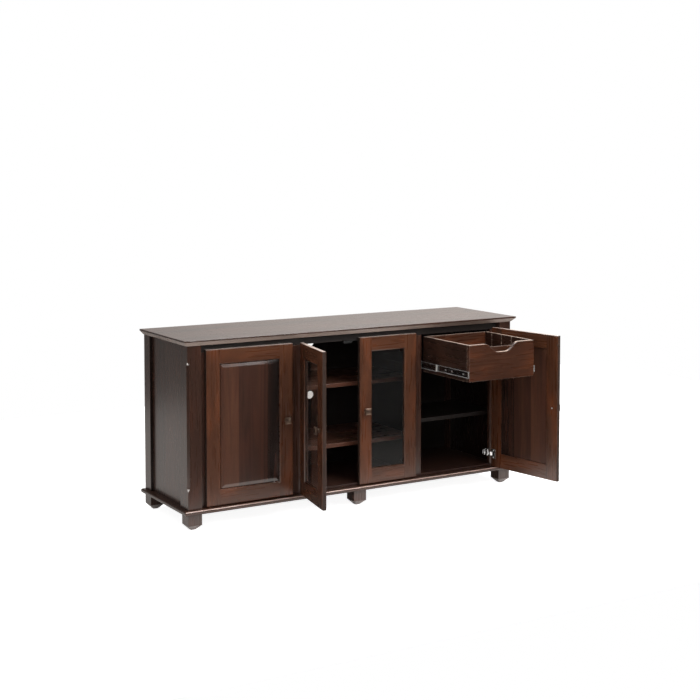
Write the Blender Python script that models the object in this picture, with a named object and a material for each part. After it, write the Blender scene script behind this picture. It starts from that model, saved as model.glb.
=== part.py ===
"""A wide wooden media console with two panel doors, a pair of glass doors and a drawer.

Metres, +Z up. X runs along the front, the front faces -Y and the floor is at Z = 0. The origin is under the
middle of the front centre foot. Every piece hangs from one empty on the floor, where Y = 0 is the face of the
front posts. Two doors stand open, and the drawer behind the right door is pulled out.
"""
import math

import bmesh
import bpy
from mathutils import Vector

# Clearance between pieces that touch, and the eased edge of a planed board
FIT = 0.0003
EASE = 0.0012

# Overall size, and how far the top and base boards reach past the posts
WIDTH = 1.830
DEPTH = 0.514
HEIGHT = 0.854
SIDE_OVERHANG = 0.022
FRONT_OVERHANG = 0.020

# Top board: a short upright edge over a long slanting underside
TOP_THICKNESS = 0.026
TOP_EDGE = 0.007
TOP_EASE = 0.0015

# Base board: rounded above, chamfered below
BASE_THICKNESS = 0.019
BASE_ROUND = 0.007
BASE_CHAMFER = 0.005
BASE_ROUND_STEPS = 4

# Feet
FOOT_HEIGHT = 0.0745
FOOT_SIZE = 0.067
FOOT_CHAMFER = 0.023

# Corner posts; the front ones have a stopped chamfer on the outer corner
POST_WIDTH = 0.067
FRONT_POST_DEPTH = 0.084
REAR_POST_DEPTH = 0.068
POST_CHAMFER = 0.0095
CHAMFER_FROM_BASE = 0.084
CHAMFER_FROM_TOP = 0.071
CHAMFER_STOP = 0.018
CHAMFER_STOP_STEPS = 5

# Side and back panels
SIDE_RECESS = 0.013
SIDE_THICKNESS = 0.019
BACK_RECESS = 0.008
BACK_THICKNESS = 0.006
CABLE_HOLE = 0.040
CABLE_HOLE_DROPS = (0.368, 0.101)
HOLE_SIDES = 32

# Face frame behind the doors, the floor and the two dividers
FRAME_SETBACK = 0.026
FRAME_THICKNESS = 0.020
OUTER_STILE = 0.039
INNER_STILE = 0.054
TOP_RAIL = 0.035
CENTRE_OPENING = 0.626
FLOOR_THICKNESS = 0.0105
DIVIDER_THICKNESS = 0.020
DIVIDER_STEP = 0.0017

# Shelves, by the height of the underside above the floor
SHELF_THICKNESS = 0.019
CENTRE_SHELF_HEIGHTS = (0.274, 0.564)
SIDE_SHELF_HEIGHT = 0.346

# Doors
DOOR_THICKNESS = 0.0195
DOOR_ROUND = 0.003
DOOR_ROUND_STEPS = 3
DOOR_STANDOFF = 0.0005
DOOR_FLOOR_GAP = 0.003
TOP_OVERLAY = 0.012
HINGE_OVERLAY = 0.012
LATCH_OVERLAY = 0.0065
MEETING_GAP = 0.003
DOOR_STILE = 0.069
DOOR_TOP_RAIL = 0.069
DOOR_BOTTOM_RAIL = 0.072
STICKING = 0.004
GROOVE_DEPTH = 0.008
LEFT_GLASS_OPEN = math.radians(101.0)
RIGHT_DOOR_OPEN = math.radians(99.0)

# Raised panel of the wooden doors, and the panes; depths run back from the door's face
TONGUE_FRONT = 0.0078
TONGUE_THICKNESS = 0.0060
PANEL_FIELD_FRONT = 0.0020
PANEL_STEP = 0.0018
PANEL_BEVEL = 0.034
GLASS_FRONT = 0.0085
GLASS_THICKNESS = 0.0040

# Square knobs, as steps of (distance from the door, half width)
KNOB_SIZE = 0.034
KNOB_LENGTH = 0.030
KNOB_NECK = 0.014
KNOB_ROSE = 0.020

# Concealed hinges: an arm that turns on the frame's inner edge and lies on the open door's inner face
HINGE_FROM_END = 0.066
HINGE_STOP = math.radians(101.0)
BARREL_RADIUS = 0.005
BARREL_HEIGHT = 0.030
BARREL_SETBACK = 0.007
BARREL_SIDES = 16
HINGE_ARM_WIDTH = 0.018
HINGE_ARM_THICKNESS = 0.004
HINGE_ARM_CLEARANCE = 0.0035
HINGE_PLATE_START = 0.006
HINGE_PLATE_LENGTH = 0.024
HINGE_PLATE_HEIGHT = 0.048
HINGE_PLATE_THICKNESS = 0.0018

# Magnetic catch under the top rail, one block for each glass door
CATCH_SPACING = 0.102
CATCH_BLOCK = 0.046
CATCH_HEIGHT = 0.012
CATCH_DEPTH = 0.016
CATCH_STRIP = 0.003

# Drawer
DRAWER_OUT = 0.382
DRAWER_DEPTH = 0.382
DRAWER_HEIGHT = 0.174
DRAWER_TOP_GAP = 0.010
DRAWER_SETBACK = 0.004
DRAWER_FRONT_THICKNESS = 0.018
DRAWER_SIDE_THICKNESS = 0.013
DRAWER_BACK_THICKNESS = 0.012
DRAWER_BOTTOM_THICKNESS = 0.006
DRAWER_BOTTOM_LIFT = 0.009
DRAWER_ROUND = 0.0028
DRAWER_ROUND_STEPS = 3
SCOOP_WIDTH = 0.196
SCOOP_FLAT = 0.048
SCOOP_DEPTH = 0.042
SCOOP_STEPS = 28
SLOT_PITCH = 0.079
SLOT_COUNT = 4
SLOT_WIDTH = 0.006
SLOT_DEPTH = 0.003

# Ball-bearing slides, each of three channels; the right one hangs on a rail beside the door's hinge
SLIDE_LENGTH = 0.400
SLIDE_THICKNESS = 0.0124
SLIDE_HEIGHT = 0.038
SLIDE_LIFT = 0.034
SLIDE_METAL = 0.0012
SLIDE_RUNNING_GAP = 0.0004
SLIDE_MIDDLE_SETBACK = 0.070
SLIDE_MIDDLE_RATIO = 0.5
SLIDE_SLOTS = (0.045, 0.137, 0.189, 0.330)
SLIDE_SLOT_LENGTH = 0.012
SLIDE_SLOT_HEIGHT = 0.005
RAIL_PROUD = 0.008
RAIL_THICKNESS = 0.020
RAIL_HEIGHT = 0.060

# Places that follow from the sizes above
HALF_WIDTH = WIDTH / 2 - SIDE_OVERHANG
INNER_HALF = HALF_WIDTH - POST_WIDTH
BACK_Y = DEPTH - FRONT_OVERHANG
BASE_TOP = FOOT_HEIGHT + BASE_THICKNESS
TOP_UNDER = HEIGHT - TOP_THICKNESS
FLOOR_TOP = BASE_TOP + FIT + FLOOR_THICKNESS
FRAME_BACK_Y = FRAME_SETBACK + FRAME_THICKNESS
PANEL_BACK_Y = BACK_Y - BACK_RECESS - BACK_THICKNESS
OPENING_TOP = TOP_UNDER - FIT - TOP_RAIL
CENTRE_EDGE = CENTRE_OPENING / 2
BAY_EDGE = CENTRE_EDGE + INNER_STILE
OUTER_EDGE = INNER_HALF - FIT - OUTER_STILE
DIVIDER_FACE = BAY_EDGE + DIVIDER_STEP
DIVIDER_INNER = DIVIDER_FACE - DIVIDER_THICKNESS
SIDE_INNER = HALF_WIDTH - SIDE_RECESS - SIDE_THICKNESS
SHELF_FRONT_Y = FRONT_POST_DEPTH + FIT
SIDE_SHELF_BACK_Y = BACK_Y - REAR_POST_DEPTH - FIT
DOOR_BACK_Y = FRAME_SETBACK - DOOR_STANDOFF
DOOR_FACE_Y = DOOR_BACK_Y - DOOR_THICKNESS
DOOR_BOTTOM = BASE_TOP + DOOR_FLOOR_GAP
DOOR_TOP = OPENING_TOP + TOP_OVERLAY
DOOR_MIDDLE = (DOOR_BOTTOM + DOOR_TOP) / 2
HINGE_HEIGHTS = (DOOR_BOTTOM + HINGE_FROM_END, DOOR_TOP - HINGE_FROM_END)
PANEL_HINGE_X = OUTER_EDGE + HINGE_OVERLAY
PANEL_FREE_X = BAY_EDGE - LATCH_OVERLAY
GLASS_HINGE_X = CENTRE_EDGE + HINGE_OVERLAY
RAIL_FACE = OUTER_EDGE - RAIL_PROUD
DRAWER_LEFT = DIVIDER_FACE + FIT + SLIDE_THICKNESS + FIT
DRAWER_RIGHT = RAIL_FACE - FIT - SLIDE_THICKNESS - FIT
DRAWER_TOP = OPENING_TOP - DRAWER_TOP_GAP
DRAWER_BOTTOM = DRAWER_TOP - DRAWER_HEIGHT
DRAWER_CLOSED_Y = FRAME_SETBACK + DRAWER_SETBACK
SLIDE_Z = DRAWER_BOTTOM + SLIDE_LIFT
SLIDE_FRONT_Y = DRAWER_CLOSED_Y

# Name of the empty that everything hangs from
CONSOLE = "console"

# For a loft or prism along an axis: where its two section directions and its length go
AXES = {"X": (1, 2, 0), "Y": (0, 2, 1), "Z": (0, 1, 2)}


def span(first, second):
    """Returns two values in rising order."""
    return (min(first, second), max(first, second))


def place(axis, u, v, along):
    """Puts section coordinates and a position along an axis into X, Y and Z."""
    point = Vector((0.0, 0.0, 0.0))
    for index, value in zip(AXES[axis], (u, v, along)):
        point[index] = value
    return point


def make_material(name, colour, roughness, metallic=0.0, transmission=0.0):
    """Makes one Principled BSDF material."""
    finish = bpy.data.materials.new(name)
    finish.use_nodes = True
    shader = finish.node_tree.nodes["Principled BSDF"]
    shader.inputs["Base Color"].default_value = (*colour, 1.0)
    shader.inputs["Roughness"].default_value = roughness
    shader.inputs["Metallic"].default_value = metallic
    shader.inputs["Transmission Weight"].default_value = transmission
    return finish


def add_empty(name, location, turn=0.0, parent=None):
    """Adds an empty for a joint, or the one that the whole console hangs from."""
    empty = bpy.data.objects.new(name, None)
    empty.location = location
    empty.rotation_euler = (0.0, 0.0, turn)
    empty.parent = parent
    bpy.context.scene.collection.objects.link(empty)
    return empty


def add_joint(name, x, y, turn=0.0):
    """Adds the empty that stands on a moving piece's axis."""
    return add_empty(name, (x, y, 0.0), turn, bpy.data.objects[CONSOLE])


def add_object(name, shape, finish, parent=None):
    """Turns a bmesh into a named object with one material."""
    bmesh.ops.recalc_face_normals(shape, faces=shape.faces)
    mesh = bpy.data.meshes.new(name)
    shape.to_mesh(mesh)
    shape.free()
    mesh.materials.append(finish)
    thing = bpy.data.objects.new(name, mesh)
    bpy.context.scene.collection.objects.link(thing)
    thing.parent = parent or bpy.data.objects[CONSOLE]
    return thing


def join_rings(shape, rings, closed):
    """Skins between rings of vertices, and caps the ends unless the rings close on themselves."""
    following = rings[1:] + rings[:1] if closed else rings[1:]
    for ring, other in zip(rings, following):
        for index in range(len(ring)):
            after = (index + 1) % len(ring)
            shape.faces.new((ring[index], ring[after], other[after], other[index]))
    if not closed:
        shape.faces.new(rings[0])
        shape.faces.new(rings[-1])


def loft(name, axis, sections, finish, parent=None, closed=False):
    """Joins rectangles (position, (low, high), (low, high)) along an axis into one solid."""
    shape = bmesh.new()
    rings = []
    for along, (u_low, u_high), (v_low, v_high) in sections:
        corners = ((u_low, v_low), (u_high, v_low), (u_high, v_high), (u_low, v_high))
        rings.append([shape.verts.new(place(axis, u, v, along)) for u, v in corners])
    join_rings(shape, rings, closed)
    return add_object(name, shape, finish, parent)


def prism(name, axis, outline, low, high, finish, parent=None):
    """Extrudes a closed outline along an axis."""
    shape = bmesh.new()
    rings = [[shape.verts.new(place(axis, u, v, along)) for u, v in outline] for along in (low, high)]
    join_rings(shape, rings, closed=False)
    return add_object(name, shape, finish, parent)


def rounding(radius, steps):
    """Gives the steps (drop below the face, inset from the edge) of an edge rounded to a quarter circle."""
    turns = [math.pi / 2 * step / steps for step in range(steps + 1)]
    return [(radius * (1 - math.sin(turn)), radius * (1 - math.cos(turn))) for turn in turns]


def soften(thing, width=EASE, segments=1):
    """Eases the sharp edges of a planed piece."""
    bevel = thing.modifiers.new("eased edges", "BEVEL")
    bevel.width = width
    bevel.segments = segments
    bevel.limit_method = "ANGLE"
    bevel.angle_limit = math.radians(40)
    return thing


def board(name, x, y, z, finish, parent=None, ease=EASE):
    """Makes a straight board from its three ranges."""
    thing = loft(name, "Z", [(z[0], x, y), (z[1], x, y)], finish, parent)
    return soften(thing, ease) if ease else thing


def cut(thing, cutter):
    """Takes a hidden cutter out of a piece."""
    cutter.hide_render = True
    cutter.display_type = "WIRE"
    boolean = thing.modifiers.new("cut", "BOOLEAN")
    boolean.operation = "DIFFERENCE"
    boolean.object = cutter


def join(thing, other):
    """Adds a hidden solid to a piece, so that both are one body."""
    other.hide_render = True
    other.display_type = "WIRE"
    boolean = thing.modifiers.new("join", "BOOLEAN")
    boolean.operation = "UNION"
    boolean.object = other


def drill(thing, centre, axis, diameter, low, high, sides, finish):
    """Bores a round hole through a piece along an axis."""
    outline = []
    for step in range(sides):
        turn = 2 * math.pi * step / sides
        outline.append((centre[0] + diameter / 2 * math.cos(turn), centre[1] + diameter / 2 * math.sin(turn)))
    cut(thing, prism(thing.name + ".bore", axis, outline, low, high, finish, thing.parent))


def add_top(wood):
    """Makes the top board with its slanting underside on the front and the ends."""
    slant = TOP_THICKNESS - TOP_EDGE
    half = WIDTH / 2
    steps = [(TOP_UNDER, slant), (TOP_UNDER + slant, 0.0), (HEIGHT - TOP_EASE, 0.0), (HEIGHT, TOP_EASE)]
    sections = []
    for height, inset in steps:
        sections.append((height, (inset - half, half - inset), (inset - FRONT_OVERHANG, BACK_Y)))
    loft("top_board", "Z", sections, wood)


def add_base(wood):
    """Makes the base board, with a round upper edge and a chamfered lower one."""
    half = WIDTH / 2
    under = FOOT_HEIGHT + FIT
    steps = [(under, BASE_CHAMFER), (under + BASE_CHAMFER, 0.0)]
    steps += [(BASE_TOP - drop, inset) for drop, inset in rounding(BASE_ROUND, BASE_ROUND_STEPS)]
    sections = []
    for height, inset in steps:
        sections.append((height, (inset - half, half - inset), (inset - FRONT_OVERHANG, BACK_Y)))
    loft("base_board", "Z", sections, wood)


def add_feet(wood):
    """Makes six square feet in line with the posts, chamfered round the bottom."""
    edge = HALF_WIDTH - FOOT_SIZE / 2
    for row, front in (("front", 0.0), ("rear", BACK_Y - FOOT_SIZE)):
        for column, middle in (("left", -edge), ("centre", 0.0), ("right", edge)):
            sections = []
            for height, inset in ((0.0, FOOT_CHAMFER), (FOOT_CHAMFER, 0.0), (FOOT_HEIGHT, 0.0)):
                half = FOOT_SIZE / 2 - inset
                y = (front + inset, front + FOOT_SIZE - inset)
                sections.append((height, (middle - half, middle + half), y))
            loft(f"{row}_{column}_foot", "Z", sections, wood)


def chamfer_cutter(name, side, finish):
    """Makes the cutter of one stopped chamfer: it eases in along a curve, runs straight and eases out."""
    bottom = BASE_TOP + CHAMFER_FROM_BASE
    top = TOP_UNDER - CHAMFER_FROM_TOP
    depth = POST_CHAMFER / math.sqrt(2)
    clear = 0.02
    profile = [(-clear, bottom)]
    for step in range(CHAMFER_STOP_STEPS + 1):
        share = step / CHAMFER_STOP_STEPS
        profile.append((depth * math.sin(share * math.pi / 2), bottom + CHAMFER_STOP * share))
    for inward, height in reversed(profile[1:]):
        profile.append((inward, bottom + top - height))
    profile.append((-clear, top))
    shape = bmesh.new()
    corner = Vector((side * HALF_WIDTH, 0.0, 0.0))
    inward = Vector((-side, 1.0, 0.0)).normalized()
    across = Vector((side, 1.0, 0.0)).normalized()
    rings = []
    for offset in (-clear, clear):
        base = corner + across * offset
        points = [base + inward * depth_in + Vector((0, 0, z)) for depth_in, z in profile]
        rings.append([shape.verts.new(point) for point in points])
    join_rings(shape, rings, closed=False)
    return add_object(name, shape, finish)


def add_posts(wood):
    """Makes the four corner posts that carry the top."""
    z = (BASE_TOP + FIT, TOP_UNDER - FIT)
    for label, side in (("left", -1), ("right", 1)):
        x = span(side * INNER_HALF, side * HALF_WIDTH)
        front = board(f"front_{label}_post", x, (0.0, FRONT_POST_DEPTH), z, wood, ease=0)
        cut(front, chamfer_cutter(front.name + ".chamfer", side, wood))
        board(f"rear_{label}_post", x, (BACK_Y - REAR_POST_DEPTH, BACK_Y), z, wood)


def add_panels(wood):
    """Makes the recessed end panels and the back with its cable holes."""
    z = (BASE_TOP + FIT, TOP_UNDER - FIT)
    y = (FRONT_POST_DEPTH + FIT, BACK_Y - REAR_POST_DEPTH - FIT)
    for label, side in (("left", -1), ("right", 1)):
        x = span(side * SIDE_INNER, side * (HALF_WIDTH - SIDE_RECESS))
        board(f"{label}_side_panel", x, y, z, wood, ease=0)
    x = (FIT - INNER_HALF, INNER_HALF - FIT)
    back = board("back_panel", x, (PANEL_BACK_Y, PANEL_BACK_Y + BACK_THICKNESS), z, wood, ease=0)
    reach = (PANEL_BACK_Y - BACK_THICKNESS, BACK_Y)
    for drop in CABLE_HOLE_DROPS:
        drill(back, (0.0, TOP_UNDER - drop), "Y", CABLE_HOLE, *reach, HOLE_SIDES, wood)


def add_face_frame(wood):
    """Makes the frame that the doors close on, with the floor and the dividers behind it."""
    y = (FRAME_SETBACK, FRAME_BACK_Y)
    stile_z = (FLOOR_TOP + FIT, OPENING_TOP - FIT)
    rail_x = (FIT - INNER_HALF, INNER_HALF - FIT)
    board("frame_top_rail", rail_x, y, (OPENING_TOP, TOP_UNDER - FIT), wood)
    inside = (FRAME_SETBACK, PANEL_BACK_Y - FIT)
    board("cabinet_floor", rail_x, inside, (BASE_TOP + FIT, FLOOR_TOP), wood)
    for label, side in (("left", -1), ("right", 1)):
        outer_x = span(side * OUTER_EDGE, side * (INNER_HALF - FIT))
        board(f"frame_{label}_outer_stile", outer_x, y, stile_z, wood)
        board(f"frame_{label}_inner_stile", span(side * CENTRE_EDGE, side * BAY_EDGE), y, stile_z, wood)
        divider_y = (FRAME_BACK_Y + FIT, PANEL_BACK_Y - FIT)
        divider_z = (FLOOR_TOP + FIT, TOP_UNDER - FIT)
        divider_x = span(side * DIVIDER_INNER, side * DIVIDER_FACE)
        board(f"{label}_divider", divider_x, divider_y, divider_z, wood, ease=0)


def add_shelves(wood):
    """Makes two shelves in the middle and one at each end."""
    centre_x = (FIT - DIVIDER_INNER, DIVIDER_INNER - FIT)
    centre_y = (SHELF_FRONT_Y, PANEL_BACK_Y - FIT)
    for label, height in zip(("lower", "upper"), CENTRE_SHELF_HEIGHTS):
        board(f"centre_{label}_shelf", centre_x, centre_y, (height, height + SHELF_THICKNESS), wood)
    side_z = (SIDE_SHELF_HEIGHT, SIDE_SHELF_HEIGHT + SHELF_THICKNESS)
    for label, side in (("left", -1), ("right", 1)):
        x = span(side * (DIVIDER_FACE + FIT), side * (SIDE_INNER - FIT))
        board(f"{label}_shelf", x, (SHELF_FRONT_Y, SIDE_SHELF_BACK_Y), side_z, wood)


def add_catch(metal):
    """Makes the double catch that holds the glass doors, on one strip under the top rail."""
    top = OPENING_TOP - FIT
    low = top - CATCH_HEIGHT
    strip = top - CATCH_STRIP
    reach = CATCH_SPACING / 2 + CATCH_BLOCK / 2
    inner = reach - CATCH_BLOCK
    outline = [(-reach, top), (-reach, low), (-inner, low), (-inner, strip),
               (inner, strip), (inner, low), (reach, low), (reach, top)]
    prism("door_catch", "Y", outline, FRAME_SETBACK + FIT, FRAME_SETBACK + FIT + CATCH_DEPTH, metal)


def strap_outline(path, thickness):
    """Gives the outline of a bent strap that follows a path, with mitred bends."""
    points = [Vector(point) for point in path]
    headings = [(after - before).normalized() for before, after in zip(points, points[1:])]
    left, right = [], []
    for index, point in enumerate(points):
        before = headings[max(index - 1, 0)]
        after = headings[min(index, len(headings) - 1)]
        middle = (before + after).normalized()
        normal = Vector((-middle.y, middle.x)) * (thickness / 2 / middle.dot(after))
        left.append(tuple(point + normal))
        right.append(tuple(point - normal))
    return left + right[::-1]


def hinge_place(side, edge):
    """Gives where a hinge's barrel stands, beside the inner edge of the frame at the given side."""
    return Vector((edge - side * (FIT + BARREL_RADIUS), FRAME_SETBACK + BARREL_SETBACK))


def add_hinge_arms(name, side, hinge_x, angle, stop, metal):
    """Makes the two hinge arms of a door, on an empty at their barrels, turned open with the door.

    Each arm arches from its barrel over the door's edge. At the stop its plate lies on the door's inner face.
    The arm is drawn along the door: u runs towards the door's free end and v from its face to its back.
    """
    edge = hinge_x - side * HINGE_OVERLAY
    barrel = hinge_place(side, edge)
    axis = add_joint(f"{name}_barrel_line", barrel.x, barrel.y, side * angle)
    offset = Vector((-side * (barrel.x - hinge_x), barrel.y - DOOR_FACE_Y))
    swung = Vector((offset.x * math.cos(stop) - offset.y * math.sin(stop),
                    offset.x * math.sin(stop) + offset.y * math.cos(stop)))
    seat = DOOR_THICKNESS + FIT
    plate_v = (seat - swung.y, seat + HINGE_PLATE_THICKNESS - swung.y)
    plate_u = (HINGE_PLATE_START - swung.x, HINGE_PLATE_START + HINGE_PLATE_LENGTH - swung.x)
    arch = seat + HINGE_ARM_CLEARANCE + HINGE_ARM_THICKNESS / 2 - swung.y
    path = [(0.0, 0.0), (-swung.x - 2 * HINGE_ARM_THICKNESS, arch), (-swung.x, arch),
            (plate_u[0] + HINGE_ARM_THICKNESS, plate_v[0] + HINGE_ARM_THICKNESS / 2)]
    arm_outline = [(-side * u, v) for u, v in strap_outline(path, HINGE_ARM_THICKNESS)]
    turns = [2 * math.pi * step / BARREL_SIDES for step in range(BARREL_SIDES)]
    barrel_outline = [(BARREL_RADIUS * math.cos(turn), BARREL_RADIUS * math.sin(turn)) for turn in turns]
    plate_x = span(-side * plate_u[0], -side * plate_u[1])
    for label, height in zip(("lower", "upper"), HINGE_HEIGHTS):
        plate_z = (height - HINGE_PLATE_HEIGHT / 2, height + HINGE_PLATE_HEIGHT / 2)
        node = board(f"{name}_{label}_hinge", plate_x, plate_v, plate_z, metal, axis, ease=0)
        for outline, tall in ((arm_outline, HINGE_ARM_WIDTH), (barrel_outline, BARREL_HEIGHT)):
            ends = (height - tall / 2, height + tall / 2)
            join(node, prism(node.name + ".piece", "Z", outline, *ends, metal, axis))


def add_door_frame(name, x, opening_x, groove, wood, axis):
    """Makes a door's four rails and stiles as one mitred ring, grooved for its panel or pane."""
    z = (DOOR_BOTTOM, DOOR_TOP)
    opening_z = (DOOR_BOTTOM + DOOR_BOTTOM_RAIL, DOOR_TOP - DOOR_TOP_RAIL)

    def ring(depth, growth, outer=False):
        if outer:
            return (depth, (x[0] + growth, x[1] - growth), (z[0] + growth, z[1] - growth))
        wide = (opening_x[0] - growth, opening_x[1] + growth)
        return (depth, wide, (opening_z[0] - growth, opening_z[1] + growth))

    rings = [
        ring(DOOR_THICKNESS, EASE, outer=True),
        ring(DOOR_THICKNESS - EASE, 0.0, outer=True),
        *(ring(depth, inset, outer=True) for depth, inset in rounding(DOOR_ROUND, DOOR_ROUND_STEPS)),
        ring(0.0, STICKING),
        ring(STICKING, 0.0),
        ring(groove[0], 0.0),
        ring(groove[0], GROOVE_DEPTH),
        ring(groove[1], GROOVE_DEPTH),
        ring(groove[1], 0.0),
        ring(DOOR_THICKNESS, 0.0),
    ]
    return loft(name, "Y", rings, wood, axis, closed=True)


def add_raised_panel(name, opening_x, opening_z, wood, axis):
    """Makes a raised panel whose tongue sits in the frame's groove."""
    reach = GROOVE_DEPTH - FIT
    steps = [
        (TONGUE_FRONT + TONGUE_THICKNESS, -reach),
        (TONGUE_FRONT, -reach),
        (TONGUE_FRONT, FIT),
        (PANEL_FIELD_FRONT + PANEL_STEP, PANEL_BEVEL),
        (PANEL_FIELD_FRONT, PANEL_BEVEL + PANEL_STEP / 4),
    ]
    sections = []
    for depth, inset in steps:
        wide = (opening_x[0] + inset, opening_x[1] - inset)
        sections.append((depth, wide, (opening_z[0] + inset, opening_z[1] - inset)))
    loft(name, "Y", sections, wood, axis)


def add_knob(name, x, metal, axis):
    """Makes a square knob: a rose on the door, a waisted neck and a pillowed face."""
    steps = [
        (FIT, KNOB_ROSE / 2),
        (KNOB_LENGTH * 0.12, KNOB_ROSE / 2),
        (KNOB_LENGTH * 0.28, KNOB_NECK / 2),
        (KNOB_LENGTH * 0.48, KNOB_NECK / 2),
        (KNOB_LENGTH * 0.64, KNOB_SIZE / 2 - EASE),
        (KNOB_LENGTH * 0.70, KNOB_SIZE / 2),
        (KNOB_LENGTH * 0.86, KNOB_SIZE / 2),
        (KNOB_LENGTH, KNOB_SIZE * 0.36),
    ]
    sections = []
    for out, half in steps:
        sections.append((-out, (x - half, x + half), (DOOR_MIDDLE - half, DOOR_MIDDLE + half)))
    loft(name, "Y", sections, metal, axis)


def add_door(name, side, hinge_x, free_x, angle, finishes, pane=False):
    """Makes one door on an empty at its hinge line, turned open by an angle.

    The hinge line runs down the front corner of the door's hinged edge. The side is -1 for a door
    hinged on its left and 1 for one hinged on its right.
    """
    axis = add_joint(f"{name}_hinge_line", hinge_x, DOOR_FACE_Y, side * angle)
    width = abs(free_x - hinge_x)
    x = span(0.0, -side * width)
    opening_x = (x[0] + DOOR_STILE, x[1] - DOOR_STILE)
    opening_z = (DOOR_BOTTOM + DOOR_BOTTOM_RAIL, DOOR_TOP - DOOR_TOP_RAIL)
    front, thickness = (GLASS_FRONT, GLASS_THICKNESS) if pane else (TONGUE_FRONT, TONGUE_THICKNESS)
    groove = (front - FIT, front + thickness + FIT)
    add_door_frame(f"{name}_frame", x, opening_x, groove, finishes["door"], axis)
    if pane:
        reach = GROOVE_DEPTH - FIT
        pane_x = (opening_x[0] - reach, opening_x[1] + reach)
        pane_z = (opening_z[0] - reach, opening_z[1] + reach)
        faces = [(front, pane_x, pane_z), (front + thickness, pane_x, pane_z)]
        loft(f"{name}_pane", "Y", faces, finishes["glass"], axis)
    else:
        add_raised_panel(f"{name}_panel", opening_x, opening_z, finishes["door"], axis)
    add_knob(f"{name}_knob", -side * (width - DOOR_STILE / 2), finishes["knob"], axis)


def add_doors(finishes):
    """Makes the four doors with their hinges."""
    middle = MEETING_GAP / 2
    layout = (
        ("left_door", -1, PANEL_HINGE_X, PANEL_FREE_X, 0.0, False),
        ("left_glass_door", -1, GLASS_HINGE_X, middle, LEFT_GLASS_OPEN, True),
        ("right_glass_door", 1, GLASS_HINGE_X, middle, 0.0, True),
        ("right_door", 1, PANEL_HINGE_X, PANEL_FREE_X, RIGHT_DOOR_OPEN, False),
    )
    for name, side, hinge_x, free_x, angle, pane in layout:
        add_door(name, side, side * hinge_x, side * free_x, angle, finishes, pane)
        add_hinge_arms(name, side, side * hinge_x, angle, angle or HINGE_STOP, finishes["zinc"])


def add_drawer_front(x, face, wood, axis):
    """Makes the drawer front, whose top edge dips in a smooth scoop for the hand."""
    middle = (x[0] + x[1]) / 2
    shoulder = (SCOOP_WIDTH - SCOOP_FLAT) / 2
    outline = [(x[1], DRAWER_TOP), (x[1], DRAWER_BOTTOM), (x[0], DRAWER_BOTTOM), (x[0], DRAWER_TOP)]
    for step in range(SCOOP_STEPS + 1):
        across = SCOOP_WIDTH * (step / SCOOP_STEPS - 0.5)
        share = min((SCOOP_WIDTH / 2 - abs(across)) / shoulder, 1.0)
        dip = SCOOP_DEPTH * (1 - math.cos(math.pi * share)) / 2
        outline.append((middle + across, DRAWER_TOP - dip))
    front = prism("drawer_front", "Y", outline, face, face + DRAWER_FRONT_THICKNESS, wood, axis)
    soften(front, DRAWER_ROUND, DRAWER_ROUND_STEPS)


def add_drawer_side(name, side, outer, y, wood, axis):
    """Makes a drawer side, round along the top, with upright slots on its inner face for loose dividers."""
    inner = outer - side * DRAWER_SIDE_THICKNESS
    low, high = span(outer, inner)
    edge = [(inset, DRAWER_TOP - drop) for drop, inset in rounding(DRAWER_ROUND, DRAWER_ROUND_STEPS)]
    outline = [(high, DRAWER_BOTTOM), (low, DRAWER_BOTTOM)]
    outline += [(low + inset, height) for inset, height in edge]
    outline += [(high - inset, height) for inset, height in reversed(edge)]
    thing = prism(name, "Y", outline, *y, wood, axis)
    slot_x = span(inner - side * SLOT_DEPTH, inner + side * SLOT_DEPTH)
    slot_z = (DRAWER_BOTTOM - SLOT_DEPTH, DRAWER_TOP + SLOT_DEPTH)
    first = (y[0] + y[1]) / 2 - SLOT_PITCH * (SLOT_COUNT - 1) / 2
    for count in range(SLOT_COUNT):
        near = first + SLOT_PITCH * count - SLOT_WIDTH / 2
        cut(thing, board(f"{name}.slot", slot_x, (near, near + SLOT_WIDTH), slot_z, wood, axis, ease=0))


def add_drawer(wood):
    """Makes the drawer box on an empty at its front, which travels with it."""
    axis = add_joint("drawer_travel", 0.0, DRAWER_CLOSED_Y - DRAWER_OUT)
    inside = DRAWER_FRONT_THICKNESS + FIT
    add_drawer_front((DRAWER_LEFT, DRAWER_RIGHT), 0.0, wood, axis)
    add_drawer_side("drawer_left_side", -1, DRAWER_LEFT, (inside, DRAWER_DEPTH), wood, axis)
    add_drawer_side("drawer_right_side", 1, DRAWER_RIGHT, (inside, DRAWER_DEPTH), wood, axis)
    between = DRAWER_SIDE_THICKNESS + FIT
    x = (DRAWER_LEFT + between, DRAWER_RIGHT - between)
    back_y = (DRAWER_DEPTH - DRAWER_BACK_THICKNESS, DRAWER_DEPTH)
    bottom_low = DRAWER_BOTTOM + DRAWER_BOTTOM_LIFT
    bottom_high = bottom_low + DRAWER_BOTTOM_THICKNESS
    back = board("drawer_back", x, back_y, (bottom_high + FIT, DRAWER_TOP), wood, axis, ease=0)
    soften(back, DRAWER_ROUND, DRAWER_ROUND_STEPS)
    board("drawer_bottom", x, (inside, DRAWER_DEPTH), (bottom_low, bottom_high), wood, axis, ease=0)
    return axis


def channel_outline(wall, side, web, reach, half, metal):
    """Gives the section of a C channel: its web and the far edge of its flanges, measured from a wall."""
    near, inside, far = (wall + side * value for value in (web[0], web[1], reach))
    if reach < web[0]:
        near, inside = inside, near
    thin = half - metal
    return [(near, SLIDE_Z - half), (far, SLIDE_Z - half), (far, SLIDE_Z - thin), (inside, SLIDE_Z - thin),
            (inside, SLIDE_Z + thin), (far, SLIDE_Z + thin), (far, SLIDE_Z + half), (near, SLIDE_Z + half)]


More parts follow.
